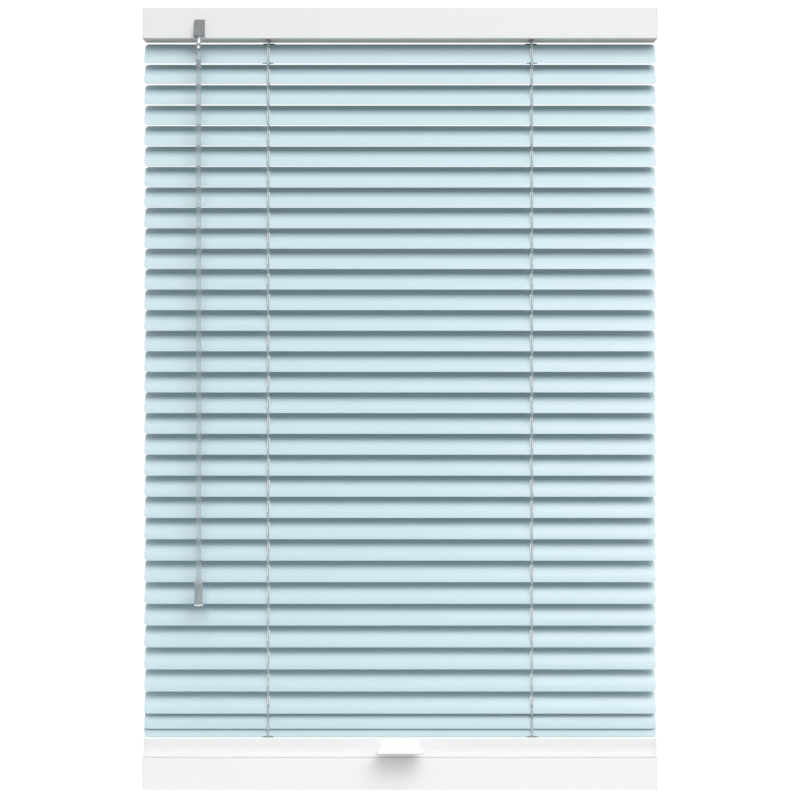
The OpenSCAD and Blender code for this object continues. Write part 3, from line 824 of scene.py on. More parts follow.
@dataclass
class Slats:
    """The curved painted slats, each with two cord slots and rounded corners."""

    at: Measures
    corner: float = 4 * MM
    slot_l: float = 13 * MM
    slot_w: float = 2 * MM
    across: int = 41
    along: int = 9
    cut: float = 8 * MM

    def tree(self) -> Shape:
        """The geometry of one slat: a domed strip, given thickness, with its slots cut."""
        number = Sockets.NUMBER
        shape = Shape.begin("slat blade", {
            "Length": number, "Width": number, "Crown": number, "Thickness": number,
            "Corner": number, "Slot Length": number, "Slot Width": number, "Ladder": number,
            "Tilt": number, "Depth": number, "Height": number,
        })
        get, m = shape.input, shape.math
        grid = shape.add("GeometryNodeMeshGrid", Size_X=2.0, Size_Y=2.0, Vertices_X=self.along,
                         Vertices_Y=self.across).outputs[0]
        here = shape.add("ShaderNodeSeparateXYZ", shape.add("GeometryNodeInputPosition").outputs[0])
        half = m("DIVIDE", get("Width"), 2.0)
        y = m("MULTIPLY", m("SINE", m("MULTIPLY", here.outputs["Y"], math.pi / 2)), half)
        past = m("SUBTRACT", m("ABSOLUTE", y), m("SUBTRACT", half, get("Corner")))
        over = m("MAXIMUM", past, 0.0)
        square = m("SUBTRACT", m("POWER", get("Corner"), 2.0), m("POWER", over, 2.0))
        straight = m("SUBTRACT", m("DIVIDE", get("Length"), 2.0), get("Corner"))
        limit = m("ADD", straight, m("SQRT", m("MAXIMUM", square, 0.0)))
        x = m("MULTIPLY", here.outputs["X"], limit)
        arc = m("DIVIDE", m("ADD", m("POWER", half, 2.0), m("POWER", get("Crown"), 2.0)),
                m("MULTIPLY", get("Crown"), 2.0))
        height = m("SQRT", m("SUBTRACT", m("POWER", arc, 2.0), m("POWER", y, 2.0)))
        z = m("SUBTRACT", height, m("SUBTRACT", arc, get("Crown")))
        domed = shape.add("GeometryNodeSetPosition", grid,
                          Position=shape.vector(x, y, z)).outputs[0]
        solid = shape.thicken(domed, get("Thickness"))
        cut = shape.add("GeometryNodeMeshBoolean", operation="DIFFERENCE")
        shape.tree.links.new(solid, cut.inputs["Mesh 1"])
        shape.tree.links.new(self.cutter(shape), cut.inputs["Mesh 2"])
        turned = shape.place(cut.outputs[0], shape.vector(0.0, get("Depth"), get("Height")),
                             shape.vector(get("Tilt")))
        return shape.end(turned)

    def cutter(self, shape: Shape) -> bpy.types.NodeSocket:
        """The two rounded slots as solids that stand through the slat."""
        get = shape.input
        outline = shape.add("GeometryNodeCurvePrimitiveQuadrilateral", Width=get("Slot Width"),
                            Height=get("Slot Length")).outputs[0]
        ends = shape.math("MULTIPLY", get("Slot Width"), 0.49)
        rounded = shape.add("GeometryNodeFilletCurve", outline, Radius=ends, Limit_Radius=True)
        for label, value in (("mode", "POLY"), ("Mode", "Poly")):
            if hasattr(rounded, label):
                setattr(rounded, label, value)
        count = next(s for s in rounded.inputs if s.name == "Count")
        count.default_value = 5
        face = shape.add("GeometryNodeFillCurve", rounded.outputs[0]).outputs[0]
        tall = shape.thicken(face, self.cut)
        low = shape.place(tall, (0, 0, -self.cut / 2))
        both = shape.at_both(low, get("Ladder"))
        return shape.add("GeometryNodeRealizeInstances", both).outputs[0]

    def build(self, finish: bpy.types.Material) -> None:
        """Grows a slat on each slat body."""
        tree = self.tree()
        at = self.at
        for k, z in enumerate(at.slat_z, start=1):
            mesh = tree.grow(
                f"slat_blade_{k:02d}", finish, Length=at.slat_l, Width=at.slat_w, Crown=at.crown,
                Thickness=at.slat_t, Corner=self.corner, Slot_Length=self.slot_l,
                Slot_Width=self.slot_w, Ladder=at.ladder_x, Tilt=at.tilt, Depth=at.axis_y, Height=z,
            )
            piece(f"slat_blade_{k:02d}", mesh, f"slat_body_{k:02d}",
                  stands_for=[f"slat_{k:02d}"])


# ---------------------------------------------------------------- ladders and cords


@dataclass
class Ladders:
    """The string ladders: twisted legs, the rungs under each slat, knots and end clips."""

    at: Measures
    radius: float = 0.42 * MM
    half_gap: float = 0.88 * MM
    lay: float = 4 * MM
    steps: int = 8
    pinch: float = 0.3 * MM
    rung_r: float = 0.2 * MM
    rung_gap: float = 2.4 * MM
    knot_r: float = 0.62 * MM
    flatness: float = 0.62
    tail_in: float = 4 * MM
    last_still: int = 29
    clip_root: float = 1.4 * MM
    clip_l: float = 4.6 * MM
    clip_front_t: float = 1.1 * MM
    clip_rear_t: float = 1.8 * MM
    clip_taper: float = 0.7 * MM
    clip_sweep: float = 0.5 * MM
    clip_bite: float = 0.1 * MM

    def leg_tree(self) -> Shape:
        """A pair of twisted strings at each ladder, pinched together at every rung's knot."""
        number = Sockets.NUMBER
        shape = Shape.begin("ladder leg", {
            "Low": number, "High": number, "Depth": number, "First Knot": number,
            "Pitch": number, "Growth": number, "Even": number, "Pinch": number,
            "Radius": number, "Half Gap": number, "Lay": number, "Steps": number,
            "Flatness": number, "Ladder": number,
        })
        get, m = shape.input, shape.math
        line = shape.add("GeometryNodeCurvePrimitiveLine", Start=shape.vector(z=get("Low")),
                         End=shape.vector(z=get("High"))).outputs[0]
        span = m("SUBTRACT", get("High"), get("Low"))
        turns = m("DIVIDE", span, get("Lay"))
        fine = shape.add("GeometryNodeResampleCurve", line,
                         Count=m("ADD", m("MULTIPLY", turns, get("Steps")), 2.0)).outputs[0]
        z = shape.add("ShaderNodeSeparateXYZ",
                      shape.add("GeometryNodeInputPosition").outputs[0]).outputs["Z"]
        knot = m("PINGPONG", self.bays(shape, z), 0.5)
        apart = m("MULTIPLY", m("SUBTRACT", 1.0, m("MULTIPLY", knot, 2.0)), get("Pinch"))
        inward = shape.vector(m("SUBTRACT", get("Half Gap"), apart), 0.0, z)
        swung = shape.add("GeometryNodeSetPosition", fine, Position=inward).outputs[0]
        angle = m("MULTIPLY", m("DIVIDE", z, get("Lay")), 2 * math.pi)
        twisted = shape.add("GeometryNodeSetCurveTilt", swung, Tilt=angle).outputs[0]
        profile = self.profile(shape, get("Radius"), get("Flatness"))
        tube = shape.add("GeometryNodeCurveToMesh", twisted, profile, Fill_Caps=True).outputs[0]
        other = shape.place(tube, turn=(0, 0, math.pi))
        pair = shape.place(shape.join(tube, other), shape.vector(0.0, get("Depth"), 0.0))
        return shape.end(shape.at_both(pair, get("Ladder")))

    @staticmethod
    def bays(shape: Shape, z: bpy.types.NodeSocket) -> bpy.types.NodeSocket:
        """How many slats down a height lies, where the lower spacing grows slowly."""
        get, m = shape.input, shape.math
        down = m("DIVIDE", m("SUBTRACT", get("First Knot"), z), get("Pitch"))
        below = m("MAXIMUM", m("SUBTRACT", down, get("Even")), 0.0)
        rate = m("MULTIPLY", m("DIVIDE", get("Growth"), get("Pitch")), 4.0)
        root = m("SQRT", m("ADD", m("MULTIPLY", below, rate), 1.0))
        lower = m("DIVIDE", m("MULTIPLY", below, 2.0), m("ADD", root, 1.0))
        return m("ADD", m("MINIMUM", down, get("Even")), lower)

    @staticmethod
    def profile(shape: Shape, radius: object, flat: object) -> bpy.types.NodeSocket:
        """The oval section of two plies lying together."""
        ring = shape.add("GeometryNodeCurvePrimitiveCircle", Resolution=8, Radius=radius).outputs[0]
        scale = shape.vector(1.0, flat, 1.0)
        node = shape.add("GeometryNodeTransform", ring)
        shape.put(node.inputs["Scale"], scale)
        return node.outputs[0]

    def rung_tree(self) -> Shape:
        """The two threads under a slat at each ladder, with a knot on each leg."""
        number = Sockets.NUMBER
        shape = Shape.begin("ladder rung", {
            "Reach": number, "Slat Width": number, "Rise": number, "Radius": number,
            "Gap": number, "Leg Gap": number, "Knot": number, "Ladder": number,
            "Tilt": number, "Depth": number, "Height": number,
        })
        get, m = shape.input, shape.math
        reach = get("Reach")
        line = shape.add("GeometryNodeCurvePrimitiveLine",
                         Start=shape.vector(y=m("MULTIPLY", reach, -1.0)),
                         End=shape.vector(y=reach)).outputs[0]
        fine = shape.add("GeometryNodeResampleCurve", line, Count=49).outputs[0]
        y = shape.add("ShaderNodeSeparateXYZ",
                      shape.add("GeometryNodeInputPosition").outputs[0]).outputs["Y"]
        out = m("ABSOLUTE", y)
        edge = m("DIVIDE", get("Slat Width"), 2.0)
        under = m("MULTIPLY", get("Radius"), -1.15)
        z = shape.add("ShaderNodeMapRange", out, edge, reach, under, get("Rise"),
                      interpolation_type="SMOOTHSTEP").outputs[0]
        x = shape.add("ShaderNodeMapRange", out, m("MULTIPLY", edge, 0.8), reach, get("Gap"),
                      get("Leg Gap"), interpolation_type="SMOOTHSTEP").outputs[0]
        bent = shape.add("GeometryNodeSetPosition", fine, Position=shape.vector(x, y, z)).outputs[0]
        ring = shape.add("GeometryNodeCurvePrimitiveCircle", Resolution=6,
                         Radius=get("Radius")).outputs[0]
        thread = shape.add("GeometryNodeCurveToMesh", bent, ring, Fill_Caps=True).outputs[0]
        threads = shape.join(thread, shape.place(thread, turn=(0, 0, math.pi)))
        ball = shape.add("GeometryNodeMeshUVSphere", Segments=10, Rings=7,
                         Radius=get("Knot")).outputs[0]
        wide = shape.add("GeometryNodeTransform", ball, Scale=(1.5, 0.8, 1.0)).outputs[0]
        knots = [shape.place(wide, shape.vector(0.0, m("MULTIPLY", reach, s), get("Rise")))
                 for s in (-1.0, 1.0)]
        rung = shape.place(shape.join(threads, *knots),
                           shape.vector(0.0, get("Depth"), get("Height")),
                           shape.vector(get("Tilt")))
        return shape.end(shape.at_both(rung, get("Ladder")))

    def leg(self, tree: Shape, name: str, finish: bpy.types.Material, side: int, high: float,
            low: float) -> bpy.types.Mesh:
        """Grows one stretch of the front or rear legs at both ladders.

        Args:
            tree: The leg's tree.
            name: Name of the mesh.
            finish: The string's material.
            side: -1 for the front legs, 1 for the rear ones.
            high: Upper end.
            low: Lower end.

        Returns:
            The mesh.
        """
        at = self.at
        knot = at.edge(1, side)
        return tree.grow(
            name, finish, Low=low, High=high, Depth=knot.y, First_Knot=knot.z, Pitch=at.pitch,
            Growth=at.growth, Even=float(at.even - 1), Pinch=self.pinch, Radius=self.radius,
            Half_Gap=self.half_gap, Lay=self.lay, Steps=float(self.steps), Flatness=self.flatness,
            Ladder=at.ladder_x,
        )

    def build(self, string: bpy.types.Material, clip: bpy.types.Material) -> None:
        """Builds the legs, rungs, loops and clips."""
        at, tree = self.at, self.leg_tree()
        nodes = {-1: ["ladder_front", "ladder_bay_30", "ladder_bay_31", "ladder_bay_32"],
                 1: ["ladder_rear"]}
        for side, word in ((-1, "front"), (1, "rear")):
            first, still, last = (at.edge(k, side) for k in (1, self.last_still, len(at.slat_z)))
            upper = self.leg(tree, f"{word}_leg_strings", string, side, first.z, still.z)
            piece(f"{word}_leg_strings", upper, f"{word}_legs",
                  stands_for=nodes[side][:1])
            lower = self.leg(tree, f"{word}_leg_gathers", string, side, still.z, last.z)
            gathers = piece(f"{word}_leg_gathers", lower, f"{word}_legs",
                            stands_for=nodes[side][1:])
            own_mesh(gathers)
            self.lead(f"{word}_leg_leads", string, side)
            self.tail(f"{word}_leg_tails", string, side)
        self.rungs(string)
        self.loops(string)
        self.clips(clip)

    def straight(self, name: str, y_low: float, y_high: float, z_low: float,
                 z_high: float) -> bpy.types.Mesh:
        """Plain straight strings with no points between their ends, so that they stay taut.

        Args:
            name: Name of the mesh.
            y_low: Depth of the lower end.
            y_high: Depth of the upper end.
            z_low: Height of the lower end.
            z_high: Height of the upper end.

        Returns:
            The mesh of four strings.
        """
        build = bmesh.new()
        for centre in (-self.at.ladder_x, self.at.ladder_x):
            for half in (-self.half_gap, self.half_gap):
                skin(build, [
                    polar_ring(Vector((centre + half, y, 0)), lambda _: self.radius * 0.8, z, 10)
                    for y, z in ((y_low, z_low), (y_high, z_high))
                ])
        mesh = from_bmesh(build, name)
        smooth(mesh)
        return mesh

    def lead(self, name: str, string: bpy.types.Material, side: int) -> None:
        """The strings from the drum to the first slat's edge."""
        at, held = self.at, self.at.edge(1, side)
        top = at.rod_z
        mesh = self.straight(name, held.y, held.y, held.z, top)
        made = piece(name, mesh, None, string)
        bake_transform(made)

    def tail(self, name: str, string: bpy.types.Material, side: int) -> None:
        """The strings from the last slat's edge into the moving rail."""
        at, last = self.at, len(self.at.slat_z)
        held = at.edge(last, side)
        foot = at.rail_top - self.tail_in
        mesh = self.straight(name, held.y, held.y, foot, held.z)
        made = piece(name, mesh, None, string,
                     stands_for=["ladder_rail_ends"] if side > 0 else ())
        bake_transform(made)

    def rungs(self, string: bpy.types.Material) -> None:
        """Grows the rungs of every slat on its own body."""
        at, tree = self.at, self.rung_tree()
        for k, z in enumerate(at.slat_z, start=1):
            mesh = tree.grow(
                f"rung_threads_{k:02d}", string, Reach=at.reach, Slat_Width=at.slat_w,
                Rise=at.slat_t / 2, Radius=self.rung_r, Gap=self.rung_gap,
                Leg_Gap=self.half_gap - self.pinch, Knot=self.knot_r, Ladder=at.ladder_x,
                Tilt=at.tilt, Depth=at.axis_y, Height=z,
            )
            piece(f"rung_threads_{k:02d}", mesh, f"slat_body_{k:02d}")

    def loops(self, string: bpy.types.Material) -> None:
        """The arcs of string over the drums in the headrail."""
        at = self.at
        front, rear = at.edge(1, -1).y, at.edge(1, 1).y
        middle, arc = (front + rear) / 2, (rear - front) / 2
        build = bmesh.new()
        for centre in (-at.ladder_x, at.ladder_x):
            for half in (-self.half_gap, self.half_gap):
                rows = []
                for k in range(25):
                    a = math.pi * k / 24
                    row = []
                    for j in range(8):
                        b = 2 * math.pi * j / 8
                        out = arc + self.radius * 0.9 * math.cos(b)
                        row.append((centre + half + self.radius * 0.9 * math.sin(b),
                                    middle + out * math.cos(a), at.rod_z + out * math.sin(a)))
                    rows.append(row)
                skin(build, rows)
        mesh = from_bmesh(build, "drum_loops")
        smooth(mesh)
        piece("drum_loops", mesh, FIXED, string, stands_for=["ladder_top_loops"])

    def clips(self, finish: bpy.types.Material) -> None:
        """The small dark clips that keep the top and bottom slats from sliding."""
        at = self.at
        for slat in (1, len(at.slat_z)):
            build = bmesh.new()
            for side in (-1, 1):
                for ladder in (-at.ladder_x, at.ladder_x):
                    for wing in (-1, 1):
                        self.wing(build, ladder, wing, side)
            turn = Matrix.Translation((0, at.axis_y, at.slat_z[slat - 1])) @ Matrix.Rotation(
                at.tilt, 4, "X")
            bmesh.ops.transform(build, matrix=turn, verts=build.verts)
            mesh = from_bmesh(build, f"slat_clips_{slat:02d}")
            smooth(mesh, 50)
            piece(f"slat_clips_{slat:02d}", mesh, f"slat_body_{slat:02d}", finish)

    def wing(self, build: bmesh.types.BMesh, ladder: float, wing: int, side: int) -> None:
        """Adds one curved wing of a clip, hooked round a slat's edge.

        Args:
            build: The bmesh that it is added to.
            ladder: Place of the ladder along X.
            wing: -1 or 1, the side of the ladder.
            side: -1 for the front edge, 1 for the rear one.
        """
        at, rows = self.at, []
        for k in range(9):
            t = k / 8
            x = ladder + wing * (self.clip_root + self.clip_l * t)
            thick = (self.clip_rear_t if side > 0 else self.clip_front_t) - self.clip_taper * t
            y = side * (at.slat_w / 2 - self.clip_bite + self.clip_sweep * t)
            rows.append([
                (x, y + side * 0.45 * thick * math.cos(b),
                 at.slat_t / 2 + 0.75 * thick * math.sin(b))
                for b in (2 * math.pi * j / 8 for j in range(8))
            ])
        skin(build, rows)


@dataclass
class TensionCords:
    """The two fixed cords that guide the moving rail, with crimped ferrules at their ends."""

    at: Measures
    strand_r: float = 0.34 * MM
    half_gap: float = 0.14 * MM
    lay: float = 5 * MM
    flatness: float = 0.75
    ferrule_l: float = 2.4 * MM

    def build(self, ladders: Ladders, string: bpy.types.Material,
              metal: bpy.types.Material) -> None:
        """Builds the cords and their ferrules.

        Args:
            ladders: Gives the tree for a twisted string.
            string: The cord's material.
            metal: The ferrules' material.
        """
        at = self.at
        low, high = (corner[2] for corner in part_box("tension_cords"))
        mesh = ladders.leg_tree().grow(
            "guide_cords", string, Low=low, High=high, Depth=at.axis_y, First_Knot=high,
            Pitch=at.pitch, Growth=0.0, Even=1.0, Pinch=0.0, Radius=self.strand_r,
            Half_Gap=self.half_gap, Lay=self.lay, Steps=6.0, Flatness=self.flatness,
            Ladder=at.ladder_x,
        )
        piece("guide_cords", mesh, FIXED, stands_for=["tension_cords"])
        build = bmesh.new()
        for x in (-at.ladder_x, at.ladder_x):
            for z0, z1 in ((high - self.ferrule_l, high), (low, low + self.ferrule_l)):
                self.ferrule(build, Vector((x, at.axis_y, 0)), z0, z1)
        mesh = from_bmesh(build, "cord_ferrules")
        smooth(mesh)
        piece("cord_ferrules", mesh, FIXED, metal)

    @staticmethod
    def ferrule(build: bmesh.types.BMesh, centre: Vector, z0: float, z1: float) -> None:
        """Adds one waisted ferrule between two heights."""
        steps = [(0, 0.8), (0, 1.2), (0.12, 1.4), (0.35, 1.32), (0.5, 1.1), (0.65, 1.32),
                 (0.88, 1.4), (1, 1.2), (1, 0.8)]
        skin(build, [polar_ring(centre, lambda _, r=r: r * MM, z0 + t * (z1 - z0), 20)
                     for t, r in steps])


# ---------------------------------------------------------------- wand


@dataclass
class Wand:
    """The clear six-sided wand, its grip and the sleeve on its link."""

    at: Measures
    corner_r: float = 2.85 * MM
    edge_r: float = 0.14 * MM
    chamfer: float = 0.4 * MM
    grip_r: float = 4.5 * MM
    flutes: int = 18
    bore_r: float = 0.65 * MM
    bore: float = 6 * MM

    def build(self, clear: bpy.types.Material, grip: bpy.types.Material,
              rim: bpy.types.Material) -> None:
        """Builds the rod, the grip, the rim at its foot and the link's sleeve."""
        low, high = (corner[2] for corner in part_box("wand"))
        foot, top = (corner[2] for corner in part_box("wand_grip"))
        side = hexagon(self.corner_r, self.edge_r)
        end = hexagon(self.corner_r - self.chamfer, self.edge_r)
        bore = lambda _: self.bore_r
        steps = [(low, end), (low + self.chamfer, side)]
        steps += [(low + (high - low) * k / 12, side) for k in range(1, 12)]
        steps += [(high - self.chamfer, side), (high, end), (high, bore),
                  (high - self.bore, bore)]
        rings = [polar_ring(self.at.wand, radius, z, 36) for z, radius in steps]
        mesh = loft(rings, "wand_rod_clear")
        smooth(mesh, 25)
        piece("wand_rod_clear", mesh, "wand_rod", clear, ["wand"])
        self.grip(foot, top, grip)
        self.rim(foot, rim)
        self.sleeve(high, clear)

    def sleeve(self, low: float, finish: bpy.types.Material) -> None:
        """The clear sleeve round the link's shank, widening down to the wand's top."""
        steps = [(0.3, 2.35, 2.1), (0.5, 2.55, 2.3), (2.0, 2.3, 2.0), (6.0, 1.75, 1.5),
                 (9.5, 1.25, 1.2), (10.6, 0.95, 1.0), (10.9, 0.7, 0.8)]
        rings = []
        for up, wide, deep in steps:
            hub = self.at.wand + Vector((0.25 * MM * up / 10, 0, 0))
            rings.append([(hub.x + wide * MM * math.cos(a), hub.y + deep * MM * math.sin(a),
                           low + up * MM) for a in (2 * math.pi * k / 32 for k in range(32))])
        mesh = loft(rings, "link_sleeve")
        smooth(mesh, 50)
        piece("link_sleeve", mesh, "wand_hook", finish)

    def grip(self, foot: float, top: float, finish: bpy.types.Material) -> None:
        """The fluted grip, waisted in the middle."""
        bore = hexagon(self.corner_r + 0.05 * MM, 0.1 * MM)

        def fluted(r: float, depth: float) -> Callable[[float], float]:
            """Radius by angle of a fluted ring."""
            return lambda a: r - depth * (0.5 + 0.5 * math.cos(self.flutes * a))

        length = top - foot
        steps: list[tuple[float, Callable[[float], float]]] = [
            (foot + 2.2 * MM, bore), (foot + 1.5 * MM, fluted(self.grip_r - 0.3 * MM, 0)),
            (foot + 1.9 * MM, fluted(self.grip_r, 0)), (foot + 3.4 * MM, fluted(self.grip_r, 0)),
        ]
        for k in range(9):
            t = k / 8
            waist = 0.3 * MM * math.sin(math.pi * t)
            steps.append((foot + length * (0.17 + 0.68 * t),
                          fluted(self.grip_r - waist, 0.16 * MM * math.sin(math.pi * t) ** 0.5)))
        steps += [(top - 2.2 * MM, fluted(self.grip_r, 0)),
                  (top - 0.6 * MM, fluted(self.grip_r, 0)),
                  (top, fluted(self.grip_r - 0.5 * MM, 0)), (top, bore)]
        rings = [polar_ring(self.at.wand, radius, z, 108) for z, radius in steps]
        build = bmesh.new()
        skin(build, rings, looped=True)
        mesh = from_bmesh(build, "wand_grip_clear")
        smooth(mesh, 45)
        piece("wand_grip_clear", mesh, "wand_rod", finish, ["wand_grip"])

    def rim(self, foot: float, finish: bpy.types.Material) -> None:
        """The pale rim that closes the grip's foot."""
        steps = [(0.0, 3.4), (0.0, 4.2), (0.2, 4.6), (0.75, 4.8), (1.3, 4.6), (1.5, 4.1)]
        rings = [polar_ring(self.at.wand, lambda _, r=r: r * MM, foot + z * MM, 48)
                 for z, r in steps]
        mesh = loft(rings, "wand_grip_rim")
        smooth(mesh, 60)
        piece("wand_grip_rim", mesh, "wand_rod", finish)


# ---------------------------------------------------------------- rails and mechanism


@dataclass
class HardParts:
    """The rails, caps, brackets and mechanism, as softened copies of the frame's parts."""

    copies: FrameCopy
    finishes: dict[str, bpy.types.Material]

    def build(self) -> None:
        """Builds every hard part on its body."""
        rows: list[tuple[str, str, str, str, float, Callable | None]] = [
            ("headrail", "headrail_extrusion", FIXED, "rail_paint", 0.22, None),
            ("bottom_profile", "bottom_extrusion", FIXED, "rail_paint", 0.22, None),
            ("end_caps", "fixed_rail_caps", FIXED, "cap_plastic", 0.1, self.panel),
            ("mounting_brackets", "bracket_plates", FIXED, "bracket_steel", 0.2, None),
            ("tilter_housing", "tilter_case", FIXED, "inner_plastic", 0.0, None),
            ("wand_cover", "stem_cover", FIXED, "cover_plastic", 0.25, None),
            ("ladder_cradles", "drum_cradles", FIXED, "inner_plastic", 0.15, None),
            ("tilt_rod", "hex_rod", "tilt_shaft", "rod_steel", 0.12, None),
            ("ladder_drums", "string_drums", "tilt_shaft", "inner_plastic", 0.15, None),
            ("worm_wheel", "tilt_gear", "tilt_shaft", "gear_plastic", 0.06, None),
            ("worm_stem", "tilter_worm", "worm", "stem_metal", 0.0, None),
            ("wand_link", "wire_link", "wand_hook", "link_wire", 0.0, None),
            ("moving_rail", "lift_rail_extrusion", RAIL, "rail_paint", 0.15, self.cove),
            ("rail_end_caps", "lift_rail_caps", RAIL, "cap_plastic", 0.15, self.coved_cap),
            ("rail_cord_guides", "cord_bushes", RAIL, "guide_plastic", 0.08, None),
        ]
        for node, name, body, slot, edge, shape in rows:
            mesh = self.copies.softened(node, name, edge * MM, shape)
            piece(name, mesh, body, self.finishes[slot], [node])

    def cove(self, build: bmesh.types.BMesh) -> None:
        """Hollows the front of the moving rail a little, so that it flares out at its foot."""
        low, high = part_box("moving_rail")
        foot, top, front, edge = low[2], high[2], low[1], 1.5 * MM
        waist, deep, sharpened, near = foot + 9 * MM, 0.8 * MM, 0.4, 1e-6
        for vert in build.verts:
            y, z = vert.co.y - front, vert.co.z - foot
            if y < edge - near and z < edge - near:
                vert.co.y, vert.co.z = front + y * sharpened, foot + z * sharpened
        cuts = [0.6 + 1.2 * k for k in range(1, 9)] + [12, 14, 16, 18]
        for cut in cuts:
            bmesh.ops.bisect_plane(
                build, geom=build.verts[:] + build.edges[:] + build.faces[:],
                plane_co=(0, 0, foot + cut * MM), plane_no=(0, 0, 1),
            )
        start = foot + edge * sharpened
        for vert in build.verts:
            if abs(vert.co.y - front) < near and vert.co.z > start:
                z = vert.co.z
                down = max(0.0, (waist - z) / (waist - start))
                up = max(0.0, (z - waist) / (top - waist))
                vert.co.y += deep * (1 - down * down) * (1 - up)

    def coved_cap(self, build: bmesh.types.BMesh) -> None:
        """Gives the moving rail's caps its hollow front, and a panel at each end."""
        self.panel(build)
        self.cove(build)

    @staticmethod
    def panel(build: bmesh.types.BMesh) -> None:
        """Sinks a shallow panel into the outer face of each end cap."""
        border, slope, sink = 0.42 * MM, 0.06 * MM, 0.3 * MM
        ends = [f for f in build.faces if abs(f.normal.x) > 0.99 and f.calc_area() > 150 * MM * MM]
        reach = max(abs(f.calc_center_median().x) for f in ends)
        outer = [f for f in ends if abs(f.calc_center_median().x) > reach - 0.1 * MM
                 and f.normal.x * f.calc_center_median().x > 0]
        for face in outer:
            side = 1 if face.normal.x > 0 else -1
            bmesh.ops.inset_individual(build, faces=[face], thickness=border)
            bmesh.ops.inset_individual(build, faces=[face], thickness=slope)
            bmesh.ops.translate(build, verts=face.verts, vec=(-side * sink, 0, 0))


@dataclass
class PullTab:
    """The flared pull tab on the moving rail: a plate with a groove, a raised lip and a foot."""

    root_w: float = 39.3 * MM
    lip_w: float = 48 * MM
    reach: float = 27 * MM
    plate: float = 1.8 * MM
    lip: float = 3.2 * MM
    drop: float = 5.6 * MM
    fall: float = 1.4 * MM
    sunk: float = 0.45 * MM
    groove: float = 8 * MM
    groove_d: float = 0.4 * MM
    notch: float = 0.45 * MM
    root_in: float = 0.9 * MM
    side_r: float = 1.6 * MM
    foot_l: float = 7 * MM
    foot_h: float = 3.6 * MM
    foot_below: float = 1.3 * MM
    foot_slant: float = 3 * MM
    foot_r: float = 0.6 * MM

    def half_width(self, out: float) -> float:
        """Half the tab's width at a distance from the rail."""
        flare = (self.lip_w - self.root_w) / 2 * ease(out, 0, self.reach - self.lip)
        notch = self.notch * (1 - ease(out, self.groove - 0.3 * MM, self.groove + 0.3 * MM))
        past = min(1.0, max(0.0, (out - self.reach + self.side_r) / self.side_r))
        return (self.root_w / 2 + max(0.0, flare - notch)
                - self.side_r * (1 - math.sqrt(1 - past * past)))

    def section(self, out: float) -> tuple[float, float]:
        """Top and bottom of the tab at a distance from the rail, under the height of its root."""
        nose = self.lip / 2
        past = out - (self.reach - nose)
        if past > 0:
            half = math.sqrt(max(0.0, nose * nose - past * past))
            return half - nose, -half - nose
        bead = self.reach - self.lip
        top = -self.sunk * (1 - ease(out, bead - 0.5 * MM, bead))
        dip = 1 - min(1.0, abs(out - self.groove) / (0.55 * MM))
        bottom = -self.plate - (self.lip - self.plate) * ease(out, 0.62 * self.reach, bead)
        return top - self.groove_d * dip, bottom

    def outs(self) -> list[float]:
        """The distances from the rail at which the tab's section is drawn."""
        nose = self.lip / 2
        mid = self.groove / MM
        plain = [-self.root_in / MM, 0.9, 1.4, 2.1, 4, 6, mid - 0.6, mid - 0.25, mid, mid + 0.25,
                 mid + 0.6, 11, 14, 17, 19.5, 21.5, 22.6, 23.2, 23.5, 23.8, 24.4]
        round_ = [self.reach - nose * (1 - math.sin(math.pi / 2 * k / 9)) for k in range(10)]
        return [out * MM for out in plain] + round_

    def rows(self) -> list[list[Point]]:
        """Closed side profiles, from the left side of the tab to the right."""
        outs, made = self.outs(), []
        ends = [math.pi / 2 * k / 6 for k in range(7)]
        for side, turn in [(-1, a) for a in ends] + [(1, a) for a in reversed(ends)]:
            squeeze = max(0.1, math.sin(turn))
            loop = []
            for out, up in [(o, 1) for o in outs] + [(o, -1) for o in reversed(outs)]:
                top, bottom = self.section(out)
                z = (top + bottom) / 2 + up * (top - bottom) / 2 * squeeze
                x = self.half_width(out) - 0.9 * MM * (1 - math.cos(turn))
                loop.append((side * max(0.1 * MM, x), -out, z - self.fall * out / self.reach))
            made.append(loop)
        return made

    def foot(self, build: bmesh.types.BMesh) -> None:
        """Adds the rounded foot that clips to the rail's front."""
        half, depth, height = self.root_w / 2 - 1 * MM, self.foot_l, self.foot_h
        block = bmesh.ops.create_cube(build, size=1.0)["verts"]
        bmesh.ops.scale(build, verts=block, vec=(2 * half, depth, height))
        bmesh.ops.translate(build, verts=block,
                            vec=(0, self.root_in - depth / 2, -height / 2 - self.foot_below))
        for vert in block:
            if vert.co.y < 0 and vert.co.z < -height / 2 - self.foot_below:
                vert.co.y += self.foot_slant
        edges = {e for v in block for e in v.link_edges}
        bmesh.ops.bevel(build, geom=list(edges), offset=self.foot_r, segments=3, affect="EDGES",
                        profile=0.5)

    def build(self, at: Measures, finish: bpy.types.Material) -> None:
        """Builds the tab on the moving rail."""
        build = bmesh.new()
        skin(build, self.rows())
        self.foot(build)
        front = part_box("moving_rail")[0][1]
        bmesh.ops.translate(build, verts=build.verts,
                            vec=(0, front - 0.05 * MM, at.rail_top - self.drop))
        mesh = from_bmesh(build, "pull_tab_moulding")
        smooth(mesh, 42)
        piece("pull_tab_moulding", mesh, RAIL, finish, ["pull_tab"])


# ---------------------------------------------------------------- studio


